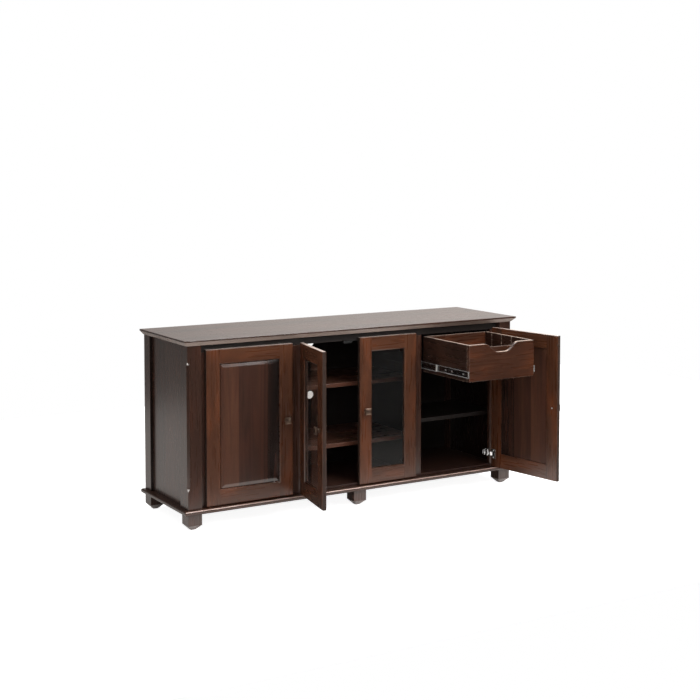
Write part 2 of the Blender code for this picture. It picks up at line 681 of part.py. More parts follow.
def beam_outline(wall, side, low, web, high, half, metal):
    """Gives the section of the middle channel, which is open towards both of its neighbours."""
    near, web_near, web_far, far = (wall + side * value for value in (low, web, web + metal, high))
    thin = half - metal
    return [(near, SLIDE_Z - half), (far, SLIDE_Z - half), (far, SLIDE_Z - thin),
            (web_far, SLIDE_Z - thin), (web_far, SLIDE_Z + thin), (far, SLIDE_Z + thin),
            (far, SLIDE_Z + half), (near, SLIDE_Z + half), (near, SLIDE_Z + thin),
            (web_near, SLIDE_Z + thin), (web_near, SLIDE_Z - thin), (near, SLIDE_Z - thin)]


def finish_drawer_channel(channel, wall, side, half, metal, axis):
    """Closes the front of a drawer channel with a bent tab, and punches the screw slots through its web."""
    lap = SLIDE_METAL / 4
    tab_x = span(wall + side * (SLIDE_THICKNESS * 0.58 + lap), wall + side * (SLIDE_THICKNESS - lap))
    tab_z = (SLIDE_Z - half + lap, SLIDE_Z + half - lap)
    tab_y = (EASE + lap, EASE + lap + SLIDE_METAL)
    join(channel, board(f"{channel.name}.tab", tab_x, tab_y, tab_z, metal, axis, ease=0))
    web = wall + side * SLIDE_THICKNESS
    slot_x = span(web - side * 2 * SLIDE_METAL, web + side * SLIDE_METAL)
    slot_z = (SLIDE_Z - SLIDE_SLOT_HEIGHT / 2, SLIDE_Z + SLIDE_SLOT_HEIGHT / 2)
    for middle in SLIDE_SLOTS:
        slot_y = (middle - SLIDE_SLOT_LENGTH / 2, middle + SLIDE_SLOT_LENGTH / 2)
        cut(channel, board(f"{channel.name}.slot", slot_x, slot_y, slot_z, metal, axis, ease=0))


def add_slides(wood, metal, drawer_axis):
    """Makes the two slides: channels on the cabinet, running channels between, and channels on the drawer."""
    metal_step = SLIDE_METAL + SLIDE_RUNNING_GAP
    outer_half = SLIDE_HEIGHT / 2
    middle_half = outer_half - metal_step
    inner_half = middle_half - metal_step
    middle_axis = add_joint("slide_travel", 0.0, SLIDE_FRONT_Y - DRAWER_OUT * SLIDE_MIDDLE_RATIO)
    for label, side, wall in (("left", 1, DIVIDER_FACE + FIT), ("right", -1, RAIL_FACE - FIT)):
        web = (0.0, SLIDE_METAL)
        fixed = channel_outline(wall, side, web, SLIDE_THICKNESS * 0.56, outer_half, SLIDE_METAL)
        ends = (SLIDE_FRONT_Y, SLIDE_FRONT_Y + SLIDE_LENGTH)
        prism(f"slide_{label}_cabinet_channel", "Y", fixed, *ends, metal)
        low, web, high = (SLIDE_THICKNESS * share for share in (0.15, 0.45, 0.87))
        running = beam_outline(wall, side, low, web, high, middle_half, SLIDE_METAL)
        ends = (SLIDE_MIDDLE_SETBACK, SLIDE_LENGTH)
        prism(f"slide_{label}_middle_channel", "Y", running, *ends, metal, middle_axis)
        web = (SLIDE_THICKNESS - SLIDE_METAL, SLIDE_THICKNESS)
        carried = channel_outline(wall, side, web, SLIDE_THICKNESS * 0.58, inner_half, SLIDE_METAL)
        channel = prism(f"slide_{label}_drawer_channel", "Y", carried, EASE, DRAWER_DEPTH, metal, drawer_axis)
        finish_drawer_channel(channel, wall, side, inner_half, metal, drawer_axis)
    rail_z = (SLIDE_Z - RAIL_HEIGHT / 2, SLIDE_Z + RAIL_HEIGHT / 2)
    rail_y = (FRAME_BACK_Y + FIT, PANEL_BACK_Y - FIT)
    board("slide_rail", (RAIL_FACE, RAIL_FACE + RAIL_THICKNESS), rail_y, rail_z, wood)


def main():
    """Builds the whole console."""
    for thing in list(bpy.data.objects):
        bpy.data.objects.remove(thing, do_unlink=True)
    add_empty(CONSOLE, (0.0, -FOOT_SIZE / 2, 0.0))
    finishes = {
        "case": make_material("stained case wood", (0.075, 0.046, 0.034), 0.32),
        "door": make_material("stained door wood", (0.115, 0.055, 0.034), 0.30),
        "drawer": make_material("stained drawer wood", (0.13, 0.065, 0.042), 0.34),
        "glass": make_material("clear glass", (0.9, 0.93, 0.93), 0.02, transmission=1.0),
        "knob": make_material("aged pewter", (0.20, 0.18, 0.16), 0.38, metallic=1.0),
        "zinc": make_material("zinc plate", (0.72, 0.73, 0.74), 0.28, metallic=1.0),
    }
    add_top(finishes["case"])
    add_base(finishes["case"])
    add_feet(finishes["case"])
    add_posts(finishes["case"])
    add_panels(finishes["case"])
    add_face_frame(finishes["case"])
    add_shelves(finishes["case"])
    add_catch(finishes["zinc"])
    add_doors(finishes)
    add_slides(finishes["case"], finishes["zinc"], add_drawer(finishes["drawer"]))


main()
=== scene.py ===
"""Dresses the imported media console: its finishes, its small fittings and a plain studio to see it in.

Metres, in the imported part's own frame: X runs along the front, the front faces -Y and the floor is at Z = 0.
"""
from __future__ import annotations

import logging
import math
from collections.abc import Callable, Iterator, Sequence
from contextlib import contextmanager
from dataclasses import dataclass, replace
from enum import Enum

import bpy
from mathutils import Matrix, Vector

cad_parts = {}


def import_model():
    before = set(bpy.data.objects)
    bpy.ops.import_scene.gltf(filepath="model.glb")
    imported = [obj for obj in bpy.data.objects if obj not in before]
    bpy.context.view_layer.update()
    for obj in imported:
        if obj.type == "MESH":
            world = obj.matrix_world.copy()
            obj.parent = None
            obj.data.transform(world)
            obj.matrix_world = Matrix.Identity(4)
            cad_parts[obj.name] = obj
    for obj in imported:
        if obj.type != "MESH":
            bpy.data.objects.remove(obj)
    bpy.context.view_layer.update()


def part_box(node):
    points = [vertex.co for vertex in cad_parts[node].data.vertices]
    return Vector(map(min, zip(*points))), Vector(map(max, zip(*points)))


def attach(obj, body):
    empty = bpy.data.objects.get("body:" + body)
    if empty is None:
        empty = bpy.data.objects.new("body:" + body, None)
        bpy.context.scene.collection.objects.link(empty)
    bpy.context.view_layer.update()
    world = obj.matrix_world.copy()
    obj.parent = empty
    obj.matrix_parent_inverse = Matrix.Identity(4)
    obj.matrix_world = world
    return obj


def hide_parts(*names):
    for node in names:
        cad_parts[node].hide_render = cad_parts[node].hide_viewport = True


LOG = logging.getLogger("media_console")

Triple = tuple[float, float, float]
Range = tuple[float, float]
Test = Callable[[Vector, Vector], bool]
Material = bpy.types.Material
Node = bpy.types.Node
Piece = bpy.types.Object
Socket = bpy.types.NodeSocket

BACK = (0.0, 1.0, 0.0)
WHITE = (1.0, 1.0, 1.0)
# How much of a full length, or of a full alignment with an axis, counts as all of it
NEARLY = 0.9
EXACTLY = 0.99
# The gaps beside pieces that touch, and under pieces that stand on others
HAIR = 0.0002
FIT = 0.0003
# The painted sheen and shade on a door frame's outer edges, and the painted shade inside the case
EDGE_PAINTED_SHEEN_AND_SHADE = (0.036, 0.028, 0.0245)
INNER_PAINTED_SHADE = (0.006, 0.0034, 0.0026)


class Slot(Enum):
    """Names of material slots, which no piece here takes its material from."""

    DOOR_WOOD = "door_wood"
    DRAWER_WOOD = "drawer_wood"
    KNOB_METAL = "knob_metal"
    ZINC = "zinc"


class Run(Enum):
    """How a board's grain lies: the axes along the grain, across its glued boards and into its thickness."""

    FLAT = (0, 1, 2)
    RAIL = (0, 2, 1)
    STILE = (2, 0, 1)
    GABLE = (2, 1, 0)
    RUNNER = (1, 2, 0)


class Pick(Enum):
    """What a modelling step picks, as Blender's three selection switches."""

    EDGES = (False, True, False)
    FACES = (False, False, True)


class Side(Enum):
    """The edge that a door is hinged on, or the side of the drawer that a slide is on, as a sign along X."""

    LEFT = -1
    RIGHT = 1


@dataclass(frozen=True)
class Swing:
    """Where a turned sub-assembly stands: its upright axis, and how far it is turned at rest."""

    x: float = 0.0
    y: float = 0.0
    degrees: float = 0.0

    @property
    def matrix(self) -> Matrix:
        """The move from the sub-assembly's own frame to the console's."""
        turn = Matrix.Rotation(math.radians(self.degrees), 4, "Z")
        return Matrix.Translation((self.x, self.y, 0.0)) @ turn


class Graph:
    """A node tree that is put together one node at a time."""

    def __init__(self, tree: bpy.types.NodeTree) -> None:
        """Takes over a material's or world's tree and clears it."""
        self.tree = tree
        tree.nodes.clear()

    @classmethod
    def material(cls, name: str) -> tuple[Material, Graph]:
        """Starts a new material.

        Args:
            name: The material's name.

        Returns:
            The material and its empty graph.
        """
        made = bpy.data.materials.new(name)
        made.use_nodes = True
        return made, cls(made.node_tree)

    def add(self, kind: str, *values: object, **settings: object) -> Node:
        """Adds a node.

        Args:
            kind: The node's type, without its ShaderNode prefix.
            values: What its first inputs get, in their order: output sockets or constants.
            settings: Its properties; and, with a capital, inputs by name, where an underscore is a space.

        Returns:
            The node.
        """
        node = self.tree.nodes.new("ShaderNode" + kind)
        for name, value in settings.items():
            if name[0].islower():
                setattr(node, name, value)
            elif value is not None:
                self.feed(node.inputs[name.replace("_", " ")], value)
        for socket, value in zip(node.inputs, values):
            self.feed(socket, value)
        return node

    def feed(self, socket: Socket, value: object) -> None:
        """Links an input to an output, or sets its constant.

        Args:
            socket: The input.
            value: An output socket or a constant.
        """
        if isinstance(value, Socket):
            self.tree.links.new(value, socket)
        else:
            socket.default_value = value

    def math(self, operation: str, *values: object) -> Socket:
        """Adds a Math node and gives its result."""
        return self.add("Math", *values, operation=operation).outputs[0]

    def vector(self, operation: str, *values: object) -> Socket:
        """Adds a Vector Math node and gives its result, which is a number for a dot product."""
        node = self.add("VectorMath", *values, operation=operation)
        return node.outputs["Value" if operation == "DOT_PRODUCT" else "Vector"]

    def noise(self, place: Socket, cells: Triple, detail: float = 1.0) -> Socket:
        """Adds a noise from 0 to 1, with so many cells to a metre along each axis."""
        scaled = self.vector("MULTIPLY", place, cells)
        return self.add("TexNoise", Vector=scaled, Scale=1.0, Detail=detail).outputs["Fac"]

    def mix(self, share: object, first: object, second: object) -> Socket:
        """Mixes two colours or two numbers.

        Args:
            share: How much of the second shows.
            first: A constant or a socket.
            second: A colour; or else a number, or a socket that gives numbers.

        Returns:
            The mixture.
        """
        colours = isinstance(second, tuple)
        node = self.add("Mix", share, data_type="RGBA" if colours else "FLOAT")
        start, result = (6, 2) if colours else (2, 0)
        for socket, value in zip(node.inputs[start:], (first, second)):
            self.feed(socket, (*value, 1.0) if isinstance(value, tuple) else value)
        return node.outputs[result]

    def lay(self, colour: Socket, mask: Socket, share: float, over: Triple) -> Socket:
        """Lays a second colour over a first where a mask shows it, at a share of its strength."""
        return self.mix(self.math("MULTIPLY", mask, share), colour, over)

    def vary(self, value: object, gain: float, base: object) -> Socket:
        """Varies a base by how far a value is from a half, times a gain."""
        return self.math("MULTIPLY_ADD", self.math("SUBTRACT", value, 0.5), gain, base)

    def step(self, value: Socket, span: Range) -> Socket:
        """Gives a smooth step from 0 to 1 over a span of values."""
        return self.add("MapRange", value, *span, 0.0, 1.0, interpolation_type="SMOOTHSTEP").outputs[0]

    def own_place(self, swing: Swing) -> Socket:
        """Gives a piece's coordinates in the frame of the sub-assembly that it belongs to."""
        place, turn = self.add("TexCoord").outputs["Object"], (0.0, 0.0, math.radians(swing.degrees))
        return self.add("Mapping", place, (swing.x, swing.y, 0.0), turn, vector_type="TEXTURE").outputs[0]

    def shader(self, **values: object) -> None:
        """Adds the Principled shader, with these inputs by name, and the output."""
        self.add("OutputMaterial", self.add("BsdfPrincipled", **values).outputs[0])

    def rounded_edges(self, radius: float) -> tuple[Socket, Socket]:
        """Rounds the edges of a surface in its shading and finds them.

        Args:
            radius: The radius of the rounding.

        Returns:
            The rounded normal and the mask of the edges.
        """
        rounded = self.add("Bevel", radius, samples=4).outputs[0]
        facing_out = self.vector("DOT_PRODUCT", rounded, self.add("NewGeometry").outputs["Normal"])
        return rounded, self.step(self.math("SUBTRACT", 1.0, facing_out), span=(0.01, 0.25))

    def ray(self, kind: str) -> Socket:
        """Gives 1 for rays of a kind, such as Camera or Glossy, and 0 for others."""
        return self.add("LightPath").outputs[f"Is {kind} Ray"]

    def relief(self, height: Socket, strength: float, depth: float, under: Socket | None = None) -> Socket:
        """Adds a bump of a depth in metres, over a normal if there is one, and gives its normal."""
        bump = self.add("Bump", Strength=strength, Distance=depth, Height=height, Normal=under)
        return bump.outputs[0]


@dataclass(frozen=True)
class FrameJoints:
    """Where the stiles of a door frame meet its rails, in the door's own frame, and how wide the door is."""

    stile_edges: Range
    width: float
    line: float = 0.0004

    def masks(self, graph: Graph, across: Socket) -> tuple[Socket, Socket, Socket]:
        """Finds the parts of the frame.

        Args:
            graph: The material's graph.
            across: The distance from the hinge line.

        Returns:
            The masks of the rails, of the stiles' inner edges and of the door's outer edges.
        """
        half = (self.stile_edges[1] - self.stile_edges[0]) / 2
        aside = graph.math("ABSOLUTE", graph.math("SUBTRACT", across, sum(self.stile_edges) / 2))
        near = graph.math("ABSOLUTE", graph.math("SUBTRACT", aside, half))
        rails = graph.math("LESS_THAN", aside, half)
        inner_edges = graph.math("LESS_THAN", near, self.line)
        return rails, inner_edges, graph.math("GREATER_THAN", aside, self.width / 2 - self.line)


@dataclass(frozen=True)
class Plank:
    """A board of a glued panel: where it starts across the grain, how light it is and how far it fades in."""

    start: float
    tone: float
    fade: float = 0.002


@dataclass(frozen=True)
class Crown:
    """The faces that are painted all over in the edge colour, as painted highlights, and as painted shade on
    the rear posts: those that look one way, with some axes counted either way.
    """

    share: float
    way: Triple = (0.0, 0.0, 1.0)
    span: Range = (0.8, 0.95)
    fold: Triple = (0.0, 0.0, 0.0)
    above: float = -1.0

    def mask(self, graph: Graph, normal: Socket, height: Socket) -> Socket:
        """Finds these faces.

        Args:
            graph: The material's graph.
            normal: The surface's normal.
            height: The height above the floor.

        Returns:
            How much they are painted, from 0 to 1.
        """
        fold = graph.vector("SUBTRACT", graph.vector("ABSOLUTE", normal), normal)
        folded = graph.vector("MULTIPLY_ADD", fold, self.fold, normal)
        aligned = graph.step(graph.vector("DOT_PRODUCT", folded, self.way), self.span)
        above = graph.math("GREATER_THAN", height, self.above)
        return graph.math("MULTIPLY", graph.math("MULTIPLY", aligned, self.share), above)


@dataclass(frozen=True)
class Wood:
    """Stained hardwood under satin lacquer, made of one board or of several glued side by side."""

    label: str
    dark: Triple
    middle: Triple
    light: Triple
    warm: Triple
    # The colour laid on edges and on the crown's faces: wear on the case wood, and painted light on the other
    # woods (highlights, reflections and shade, as noted at each)
    wear_and_painted_light: Triple
    glued: float = 0.0
    roughness: float = 0.28
    contrast: float = 1.0
    edge: float = 0.0018
    blotched: float = 0.6
    # How much of the edges take that colour
    edge_wear_and_painted_light: float = 0.4
    crown: Crown | None = None
    # How far apart in the tree two glued boards were cut, and how far the grain sways
    apart: float = 9.0
    sway: float = 0.022
    pore_depth: float = 0.7
    fibre_height: float = 0.5

    def material(
        self, name: str, run: Run, swing: Swing = Swing(), joints: FrameJoints | None = None,
        planks: tuple[Plank, ...] = (), inside: float = 0.0,
    ) -> Material:
        """Makes the finish for one piece.

        Args:
            name: The piece that it is for, which also sets where in the tree its board was cut.
            run: How its grain lies.
            swing: Where the sub-assembly that it belongs to stands.
            joints: The joints of a door frame, whose rails run across its stiles.
            planks: The boards of a panel whose boards are known.
            inside: The distance from the middle of the console within which the colour is darkened as painted
                shade, if any.

        Returns:
            The material.
        """
        made, graph = Graph.material(f"{self.label}.{name}")
        # Where in the tree the board was cut, in metres: a number that differs from name to name
        seed = sum(ord(letter) * (index + 3) for index, letter in enumerate(name)) % 97 / 10
        axes = graph.add("SeparateXYZ", graph.own_place(swing)).outputs
        along, across, into = (axes[axis] for axis in run.value)
        if joints:
            rails, inner_edges, outer_edges = joints.masks(graph, axes[0])
            along, across = graph.mix(rails, axes[2], axes[0]), graph.mix(rails, axes[0], axes[2])
        board = self.board_tone(graph, across, seed, planks)
        along = graph.math("ADD", graph.math("MULTIPLY_ADD", board, self.apart, along), seed)
        straight = graph.add("CombineXYZ", along, across, into).outputs[0]
        swayed = graph.noise(straight, cells=(2.3, 6.0, 6.0))
        swayed = graph.math("MULTIPLY_ADD", swayed, self.sway, across)
        place = graph.add("CombineXYZ", along, swayed, into).outputs[0]
        figure = graph.noise(place, cells=(1.2, 17.0, 17.0), detail=2.0)
        streaks = graph.noise(place, cells=(6.0, 90.0, 90.0))
        fibres = graph.noise(place, cells=(7.0, 430.0, 430.0))
        pores = graph.step(graph.noise(place, cells=(38.0, 1500.0, 1500.0)), span=(0.60, 0.72))
        blotches = graph.step(graph.noise(place, cells=(4.0, 13.0, 13.0), detail=2.0), span=(0.42, 0.74))
        tone: object = 0.5
        for value, weight in ((figure, 0.85), (streaks, 0.30), (fibres, 0.18), (board, 0.95)):
            tone = graph.vary(value, weight * self.contrast, tone)
        colour = graph.mix(graph.step(tone, span=(-0.1, 0.5)), self.dark, self.middle)
        colour = graph.mix(graph.step(tone, span=(0.5, 1.1)), colour, self.light)
        colour = graph.lay(colour, blotches, share=self.blotched, over=self.warm)
        colour = graph.lay(colour, pores, share=0.35, over=self.dark)
        # The edges, and the faces that the crown picks, take the edge colour: wear on the case wood, and
        # painted highlights, reflections and shade on the others
        rounded, edges = graph.rounded_edges(self.edge)
        edge_paint = graph.math("MULTIPLY", graph.step(figure, span=(0.2, 0.6)), self.edge_wear_and_painted_light)
        wear_and_painted_light = graph.math("MULTIPLY", edges, edge_paint)
        if self.crown:
            wear_and_painted_light = graph.math("MAXIMUM", wear_and_painted_light, self.crown.mask(graph, rounded, axes[2]))
        colour = graph.mix(wear_and_painted_light, colour, self.wear_and_painted_light)
        if joints:
            colour = graph.lay(colour, inner_edges, share=0.75, over=self.dark)
            # The door's outer edge faces turn greyer and darker: painted sheen and shade
            colour = graph.lay(colour, outer_edges, share=0.8, over=EDGE_PAINTED_SHEEN_AND_SHADE)
        # Near the middle the inner faces are darkened: painted shade inside the case
        if inside:
            within = graph.math("LESS_THAN", graph.math("ABSOLUTE", axes[0]), inside)
            colour = graph.lay(colour, within, share=0.85, over=INNER_PAINTED_SHADE)
        height = graph.math("MULTIPLY", fibres, self.fibre_height)
        height = graph.math("MULTIPLY_ADD", pores, -self.pore_depth, height)
        graph.shader(
            Base_Color=colour,
            Roughness=graph.vary(streaks, gain=0.07, base=self.roughness),
            Normal=graph.relief(height, strength=0.07, depth=0.0004, under=rounded),
            Coat_Weight=0.1,
            Coat_Roughness=0.15,
            Specular_IOR_Level=0.5,
        )
        return made

    def board_tone(self, graph: Graph, across: Socket, seed: float, planks: tuple[Plank, ...]) -> object:
        """Gives each glued board a tone of its own.

        Args:
            graph: The material's graph.
            across: The distance across the grain.
            seed: Where in the tree the piece was cut.
            planks: The boards, if they are known.

        Returns:
            The board's tone, from 0 to 1.
        """
        if planks:
            tone: object = planks[0].tone
            for before, plank in zip(planks, planks[1:]):
                past = graph.step(across, (plank.start, plank.start + plank.fade))
                tone = graph.math("MULTIPLY_ADD", past, plank.tone - before.tone, tone)
            return tone
        if not self.glued:
            return 0.5
        counted = graph.math("FLOOR", graph.math("ADD", graph.math("DIVIDE", across, self.glued), seed))
        return graph.add("TexWhiteNoise", noise_dimensions="1D", W=counted).outputs["Value"]


@dataclass(frozen=True)
class Metal:
    """A plated or aged metal, clouded a little, drawn along its length and paler on its edges: painted
    highlights on the zinc and steel, and wear on the aged pewter.
    """

    label: str
    colour: Triple
    cloud: Triple
    roughness: float
    edge: float
    drawn: Triple = (160.0, 160.0, 160.0)
    relief: float = 0.03
    wear_and_painted_light: Triple = (0.98, 0.98, 0.98)
    dulling: float = 0.75

    def material(self, name: str, swing: Swing = Swing()) -> Material:
        """Makes the finish for one piece.

        Args:
            name: The piece that it is for.
            swing: Where the sub-assembly that it belongs to stands.

        Returns:
            The material.
        """
        made, graph = Graph.material(f"{self.label}.{name}")
        place = graph.own_place(swing)
        clouds = graph.step(graph.noise(place, cells=(55.0, 55.0, 55.0), detail=4.0), span=(0.35, 0.7))
        lines = graph.noise(place, self.drawn, detail=2.0)
        rounded, edge_paint = graph.rounded_edges(self.edge)
        graph.shader(
            Base_Color=graph.mix(edge_paint, graph.mix(clouds, self.colour, self.cloud), self.wear_and_painted_light),
            Metallic=graph.math("MULTIPLY_ADD", edge_paint, -self.dulling, 1.0),
            Roughness=graph.vary(lines, gain=0.2, base=self.roughness),
            Normal=graph.relief(lines, self.relief, depth=0.0003, under=rounded),
        )
        return made


@dataclass(frozen=True)
class Glass:
    """Clear float glass with the faintest haze of handling."""

    label: str = "clear glass"
    colour: Triple = (0.96, 0.975, 0.97)
    haze: float = 0.003

    def material(self, name: str, swing: Swing = Swing()) -> Material:
        """Makes the finish for one pane.

        Args:
            name: The pane that it is for.
            swing: Where its door stands.

        Returns:
            The material.
        """
        made, graph = Graph.material(f"{self.label}.{name}")
        noise = graph.noise(graph.own_place(swing), cells=(14.0, 14.0, 9.0), detail=4.0)
        graph.shader(
            Base_Color=(*self.colour, 1.0),
            Transmission_Weight=0.9965,
            IOR=1.5,
            Roughness=graph.math("MULTIPLY", graph.step(noise, span=(0.5, 0.8)), self.haze),
        )
        return made


@dataclass(frozen=True)
class Moulded:
    """Moulded plastic, felt or another plain small material with a fine surface."""

    label: str
    colour: Triple
    shade: Triple
    roughness: float
    grain: float = 900.0

    def material(self, name: str, swing: Swing = Swing()) -> Material:
        """Makes the finish for one piece.

        Args:
            name: The piece that it is for.
            swing: Where the sub-assembly that it belongs to stands.

        Returns:
            The material.
        """
        made, graph = Graph.material(f"{self.label}.{name}")
        speck = graph.noise(graph.own_place(swing), (self.grain,) * 3, detail=3.0)
        graph.shader(
            Base_Color=graph.mix(speck, self.colour, self.shade),
            Roughness=graph.vary(speck, gain=0.2, base=self.roughness),
            Normal=graph.relief(speck, strength=0.15, depth=0.0003),
        )
        return made


CASE_WOOD = Wood(
    "case wood", dark=(0.012, 0.006, 0.0042), middle=(0.038, 0.0165, 0.0105), light=(0.068, 0.029, 0.017),
    warm=(0.062, 0.021, 0.0115), wear_and_painted_light=(0.16, 0.075, 0.042),
)
BOARD_WOOD = replace(CASE_WOOD, label="glued case wood", glued=0.094, contrast=0.5)
# The slanted undersides all round are painted pale: painted light along the top's edge
TOP_WOOD = replace(
    BOARD_WOOD, label="top wood", wear_and_painted_light=(0.38, 0.29, 0.245), edge=0.004, edge_wear_and_painted_light=0.1,
    crown=Crown(0.85, (0.45, 0.45, -0.77), (0.78, 0.86), (1.0, 1.0, 0.0)),
)
# The chamfers are painted pale: painted reflection of the white floor
FOOT_WOOD = replace(
    TOP_WOOD, label="foot wood", wear_and_painted_light=(0.50, 0.43, 0.40), glued=0.0, contrast=1.0, edge=0.0018,
    crown=replace(TOP_WOOD.crown, share=0.6),
)
# The faces that look forward are painted near-black: painted shade
REAR_POST_WOOD = replace(
    CASE_WOOD, label="rear post wood", wear_and_painted_light=INNER_PAINTED_SHADE, edge_wear_and_painted_light=0.0, crown=Crown(0.9, (0.0, -1.0, 0.0)),
)
# The rounding along the front is painted pale pink: a painted highlight
BASE_WOOD = replace(
    BOARD_WOOD, label="base wood", wear_and_painted_light=(0.66, 0.47, 0.40), edge=0.003,
    crown=Crown(0.9, (0.0, -0.66, 0.75), (0.90, 0.98)),
)
# The ends of the stopped chamfers are painted near-white: painted highlights
POST_WOOD = replace(
    CASE_WOOD, label="post wood", wear_and_painted_light=(0.80, 0.74, 0.70), edge_wear_and_painted_light=0.1,
    crown=Crown(0.95, (0.52, 0.52, 0.68), (0.86, 0.94), (1.0, 1.0, 1.0)),
)
# A lighter copy of the glued case wood with pale edges: painted light on the centre shelves and painted
# highlights along their edges
SHELF_WOOD = replace(
    BOARD_WOOD, label="shelf wood", middle=(0.066, 0.0285, 0.0180), light=(0.11, 0.046, 0.027),
    warm=(0.11, 0.037, 0.020), wear_and_painted_light=(0.50, 0.36, 0.29), edge_wear_and_painted_light=0.7,
)
# A near-black copy of the case wood for the top rail, the dividers, the back and the end shelves: painted
# shade inside the case and under the top
INNER_WOOD = Wood(
    "inner case wood", dark=(0.0062, 0.0041, 0.0033), middle=(0.0112, 0.0074, 0.0058),
    light=(0.016, 0.0104, 0.008), warm=(0.014, 0.0084, 0.0064), wear_and_painted_light=(0.03, 0.021, 0.017), glued=0.12,
    roughness=0.45, contrast=0.35,
)
# Darker than the shelf wood: painted shade on the case floor inside the bays
FLOOR_WOOD = replace(
    INNER_WOOD, label="floor wood", dark=(0.014, 0.0058, 0.004), middle=(0.032, 0.0125, 0.008),
    light=(0.046, 0.018, 0.011), warm=(0.046, 0.015, 0.0085),
)
# The faces that look up near the tops of the doors, and a little of their edges, are painted pale: painted
# highlights
DOOR_WOOD = Wood(
    "door wood", dark=(0.020, 0.0076, 0.0044), middle=(0.072, 0.0258, 0.0122), light=(0.130, 0.048, 0.0215),
    warm=(0.140, 0.042, 0.0165), wear_and_painted_light=(0.82, 0.68, 0.60), contrast=1.25, blotched=0.75, edge_wear_and_painted_light=0.1,
    crown=Crown(0.65, above=0.78),
)
# A darker, duller copy of the door wood: painted shade on the bead inside the glazed opening
BEAD_WOOD = replace(
    DOOR_WOOD, label="bead wood", middle=(0.034, 0.0125, 0.0066), light=(0.056, 0.0205, 0.0098),
    warm=(0.052, 0.0165, 0.0075), roughness=0.6, edge_wear_and_painted_light=0.0, crown=None,
)
# Its edges, the hollow round the border too, are painted near-black: painted shade
PANEL_WOOD = replace(
    DOOR_WOOD, label="glued door wood", dark=(0.010, 0.0062, 0.0052), middle=(0.046, 0.0205, 0.014),
    light=(0.094, 0.039, 0.0225), warm=(0.078, 0.026, 0.016), wear_and_painted_light=(0.005, 0.0035, 0.003), roughness=0.22,
    edge=0.003, blotched=0.4, edge_wear_and_painted_light=0.95, crown=None,
)
# Its upward faces and most of its edges are painted pale: painted highlights along the drawer's top edges,
# slots and scoop
DRAWER_WOOD = Wood(
    "drawer wood", dark=(0.016, 0.0064, 0.0038), middle=(0.045, 0.0160, 0.0080), light=(0.080, 0.029, 0.0137),
    warm=(0.098, 0.029, 0.0115), wear_and_painted_light=(0.62, 0.47, 0.38), contrast=0.9, edge=0.0030, blotched=0.85,
    edge_wear_and_painted_light=0.9, crown=Crown(0.8),
)
# A darker copy of the drawer wood for the sides: painted shade
DRAWER_SIDE = replace(
    DRAWER_WOOD, label="drawer side wood", middle=(0.026, 0.0125, 0.0085), light=(0.048, 0.021, 0.013),
    warm=(0.040, 0.016, 0.010),
)
DRAWER_FLOOR = replace(DRAWER_WOOD, label="drawer floor wood", crown=None)
# The left panel's boards differ in tone as glued boards do; its last board, dark and faded in over 9 cm, also
# paints the shade on the panel's right part
LEFT_PLANKS = (
    Plank(0.0, 0.74), Plank(0.160, 0.38, 0.004), Plank(0.215, 0.56, 0.02), Plank(0.258, -0.05, 0.09),
)
RIGHT_PLANKS = (Plank(-0.44, 0.80), Plank(-0.275, 0.52, 0.03), Plank(-0.180, 0.20, 0.06))
# The pale edges of the zinc and both steels are painted highlights; the steel screw heads are pale nearly all
# over
ZINC = Metal("zinc plate", (0.86, 0.87, 0.88), (0.72, 0.73, 0.75), 0.22, 0.0012, (420.0, 30.0, 420.0))
SLIDE_STEEL = Metal("slide steel", (0.17, 0.175, 0.18), (0.10, 0.10, 0.105), 0.25, 0.0040, ZINC.drawn)
PEWTER = Metal(
    "aged pewter", (0.27, 0.185, 0.14), (0.14, 0.092, 0.068), 0.42, 0.0016, (300.0, 300.0, 300.0), 0.1,
    (0.50, 0.40, 0.33),
)
STEEL = Metal("screw steel", (0.80, 0.79, 0.78), (0.62, 0.61, 0.60), 0.28, 0.004)
GLASS = Glass()
NYLON = Moulded("nylon", (0.66, 0.64, 0.61), (0.56, 0.54, 0.51), 0.5)
FELT = Moulded("felt", (0.05, 0.035, 0.028), (0.09, 0.07, 0.058), 0.95, 2600.0)
CATCH_PLASTIC = Moulded("catch plastic", (0.006, 0.0056, 0.0053), (0.010, 0.0094, 0.009), 0.75)


def select_only(*pieces: Piece) -> None:
    """Selects some pieces and nothing else.

    Args:
        pieces: The pieces, of which the first becomes the active one.
    """
    bpy.ops.object.select_all(action="DESELECT")
    for piece in pieces:
        piece.select_set(True)
    if pieces:
        bpy.context.view_layer.objects.active = pieces[0]


def settle(*pieces: Piece) -> None:
    """Moves the pieces' places into their meshes, so that their objects sit at the origin."""
    select_only(*pieces)
    bpy.ops.object.transform_apply(location=True, rotation=True, scale=True)


def take(name: str) -> Piece:
    """Names the mesh that was just added and settles it.

    Args:
        name: The piece's name.

    Returns:
        The piece.
    """
    piece = bpy.context.active_object
    piece.name = name
    settle(piece)
    return piece


def block(name: str, low: Sequence[float], high: Sequence[float]) -> Piece:
    """Starts a piece from a box.

    Args:
        name: The piece's name.
        low: The box's lowest corner.
        high: Its highest corner.

    Returns:
        The piece.
    """
    select_only()
    low, high = Vector(low), Vector(high)
    bpy.ops.mesh.primitive_cube_add(size=1.0, location=(low + high) / 2, scale=high - low)
    return take(name)


def drum(name: str, radius: float, height: float, sides: int) -> Piece:
    """Starts a piece from a round drum that stands on the origin.

    Args:
        name: The piece's name.
        radius: The drum's radius.
        height: Its height.
        sides: How many sides it has.

    Returns:
        The piece.
    """
    select_only()
    middle = (0.0, 0.0, height / 2)
    bpy.ops.mesh.primitive_cylinder_add(vertices=sides, radius=radius, depth=height, location=middle)
    return take(name)


